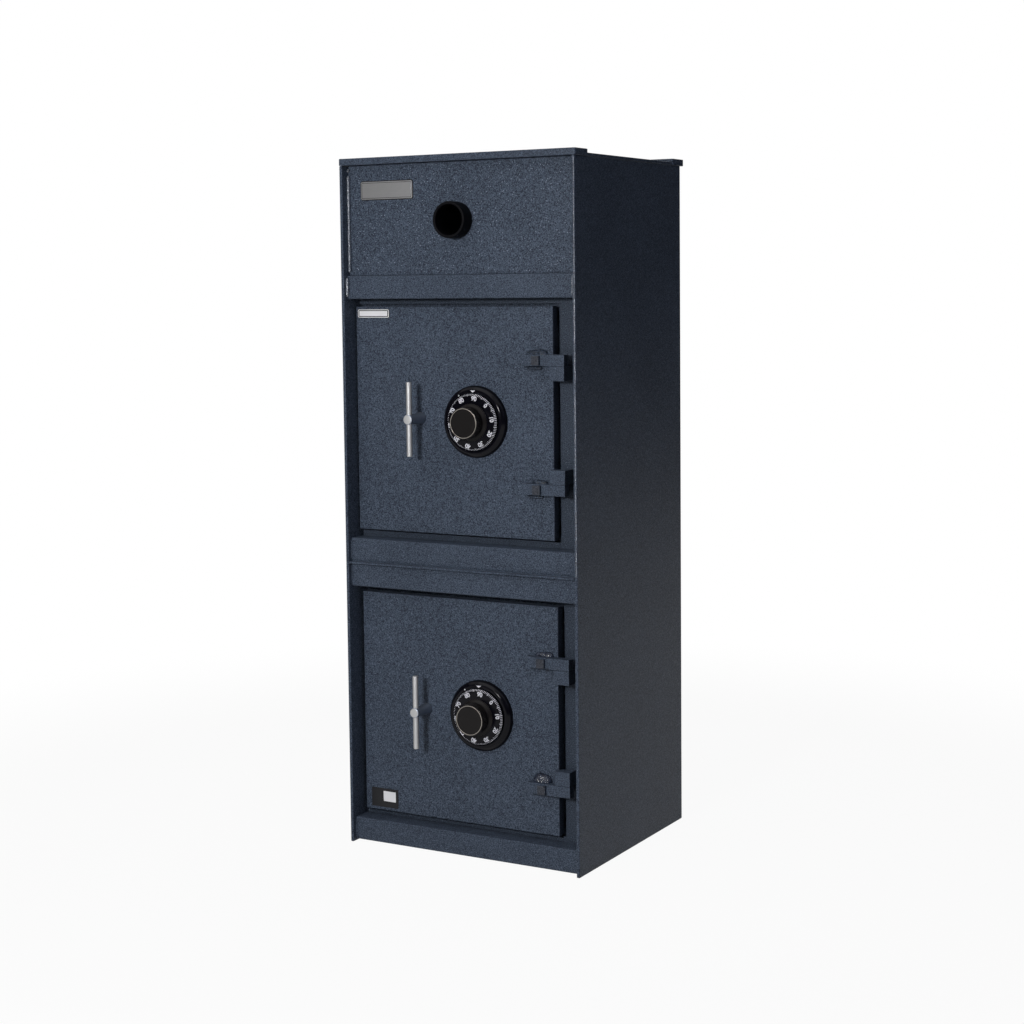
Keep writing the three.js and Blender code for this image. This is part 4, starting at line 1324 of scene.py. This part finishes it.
@dataclass
class Studio:
    """Camera, lamps, floor and surroundings at the photograph's viewing angle."""

    camera_place: Point = (1.3784, -2.4446, 0.8149)
    right: Point = (0.8649, 0.5018, -0.0114)
    down: Point = (0.0323, -0.0782, -0.9964)
    forward: Point = (-0.5009, 0.8614, -0.0838)
    lens: float = 67.57
    shift: tuple[float, float] = (0.02155, -0.06775)
    sky_light: float = 0.17
    floor_reach: float = 25.0
    wall_radius: float = 4.6
    wall_height: float = 3.4

    def build(self) -> None:
        """Sets up the whole studio."""
        self._camera()
        self._lamps()
        self._world()
        self._floor()
        self._walls()
        bpy.context.scene.view_settings.view_transform = "Standard"

    def _camera(self) -> None:
        """Places the camera that the photograph's lines were solved for."""
        data = bpy.data.cameras.new("camera")
        data.lens = self.lens
        data.sensor_width = 36
        data.shift_x, data.shift_y = self.shift
        data.clip_end = 60
        camera = place_object("camera", data)
        basis = Matrix((self.right, -Vector(self.down), -Vector(self.forward))).transposed()
        camera.matrix_world = Matrix.Translation(self.camera_place) @ basis.to_4x4()
        bpy.context.scene.camera = camera

    @staticmethod
    def _lamp(
        name: str,
        turn: float,
        rise: float,
        distance: float,
        size: float,
        power: float,
        colour: Colour = (1, 1, 1),
    ) -> None:
        """Adds a square soft lamp that looks at the middle of the safe.

        Args:
            name: Name of the lamp.
            turn: Degrees to the right of the front.
            rise: Degrees above level.
            distance: Metres from the middle of the safe.
            size: Side of the lamp.
            power: Watts.
            colour: Colour of its light.
        """
        target = Vector((0, 0, 0.55))
        a, b = math.radians(turn), math.radians(rise)
        direction = Vector((math.sin(a) * math.cos(b), -math.cos(a) * math.cos(b), math.sin(b)))
        data = bpy.data.lights.new(name, "AREA")
        data.energy = power
        data.size = size
        data.color = colour
        lamp = place_object(name, data)
        lamp.location = target + direction * distance
        lamp.rotation_euler = direction.to_track_quat("Z", "Y").to_euler()

    def _lamps(self) -> None:
        """Hangs the key lamp, a wide soft one above the front, and weak ones to the right and behind."""
        self._lamp("key", 3, 12, 2.6, 0.32, 40)
        self._lamp("front_fill", -18, 44, 3.2, 2.4, 20)
        self._lamp("back_fill", 195, 25, 3.4, 2.4, 14)
        self._lamp("right_fill", 66, 28, 2.8, 1.5, 6, (0.88, 0.96, 1.20))

    def _world(self) -> None:
        """White where it is seen, and a low even light elsewhere."""
        world = bpy.data.worlds.new("studio")
        world.use_nodes = True
        bpy.context.scene.world = world
        sky = Network(world.node_tree)
        background = sky.tree.nodes["Background"]
        sky.feed(background.inputs["Color"], (1, 1, 1, 1))
        sky.feed(background.inputs["Strength"], sky.seen() * (1 - self.sky_light) + self.sky_light)

    def _floor(self) -> None:
        """Pale floor that shows white apart from a faint shadow near the safe."""
        recipe = Recipe("studio_floor")
        recipe.set(Base_Color=(0.6, 0.6, 0.6, 1), Roughness=0.9, Specular_IOR_Level=0.1)
        distance = recipe.node("ShaderNodeVectorMath", {"operation": "LENGTH"}, {0: recipe.place()}, "Value")
        share = recipe.seen() * (distance.between(0.8, 1.6) * 0.06 + 0.94)
        matt = Signal(recipe, recipe.shader.outputs[0])
        glow = recipe.node("ShaderNodeEmission")
        surface = recipe.node("ShaderNodeMixShader", None, {0: share, 1: matt, 2: glow})
        recipe.feed(recipe.output.inputs["Surface"], surface)
        points = self.floor_reach * np.array([(-1, -1, 0), (1, -1, 0), (1, 1, 0), (-1, 1, 0)])
        floor = place_mesh("studio_floor", points, [(0, 1, 2, 3)])
        floor.data.materials.append(recipe.material)

    def _walls(self) -> None:
        """Dark studio walls that the camera doesn't see, so that gloss shows a dark room."""
        recipe = Recipe("studio_walls")
        recipe.set(Base_Color=(0.03, 0.03, 0.035, 1), Roughness=1.0, Specular_IOR_Level=0.0)
        count = 64
        angle = np.linspace(0, TAU, count, endpoint=False)
        ring = self.wall_radius * np.stack([np.cos(angle), np.sin(angle)], axis=-1)
        levels = (0.0, self.wall_height)
        points = np.concatenate([np.column_stack([ring, np.full(count, z)]) for z in levels])
        walls = place_mesh("studio_walls", points, grid_quads(2, count, True).tolist())
        walls.data.materials.append(recipe.material)
        walls.visible_camera = False


def main() -> None:
    """Builds the studio and every sub-assembly, then warns of any solid that still shows plain."""
    Studio().build()
    Cabinet().build()
    DropOpening().build()
    for door in DOORS:
        for assembly in (DoorLeaf, THandle, Boltwork, CombinationLock):
            assembly(door).build()
            log.info("%s of the %s door done", assembly.__name__, door)
    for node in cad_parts.values():
        if not node.hide_render:
            log.warning("%s still shows its plain solid", node.name)


if __name__ == "__main__":
    main()
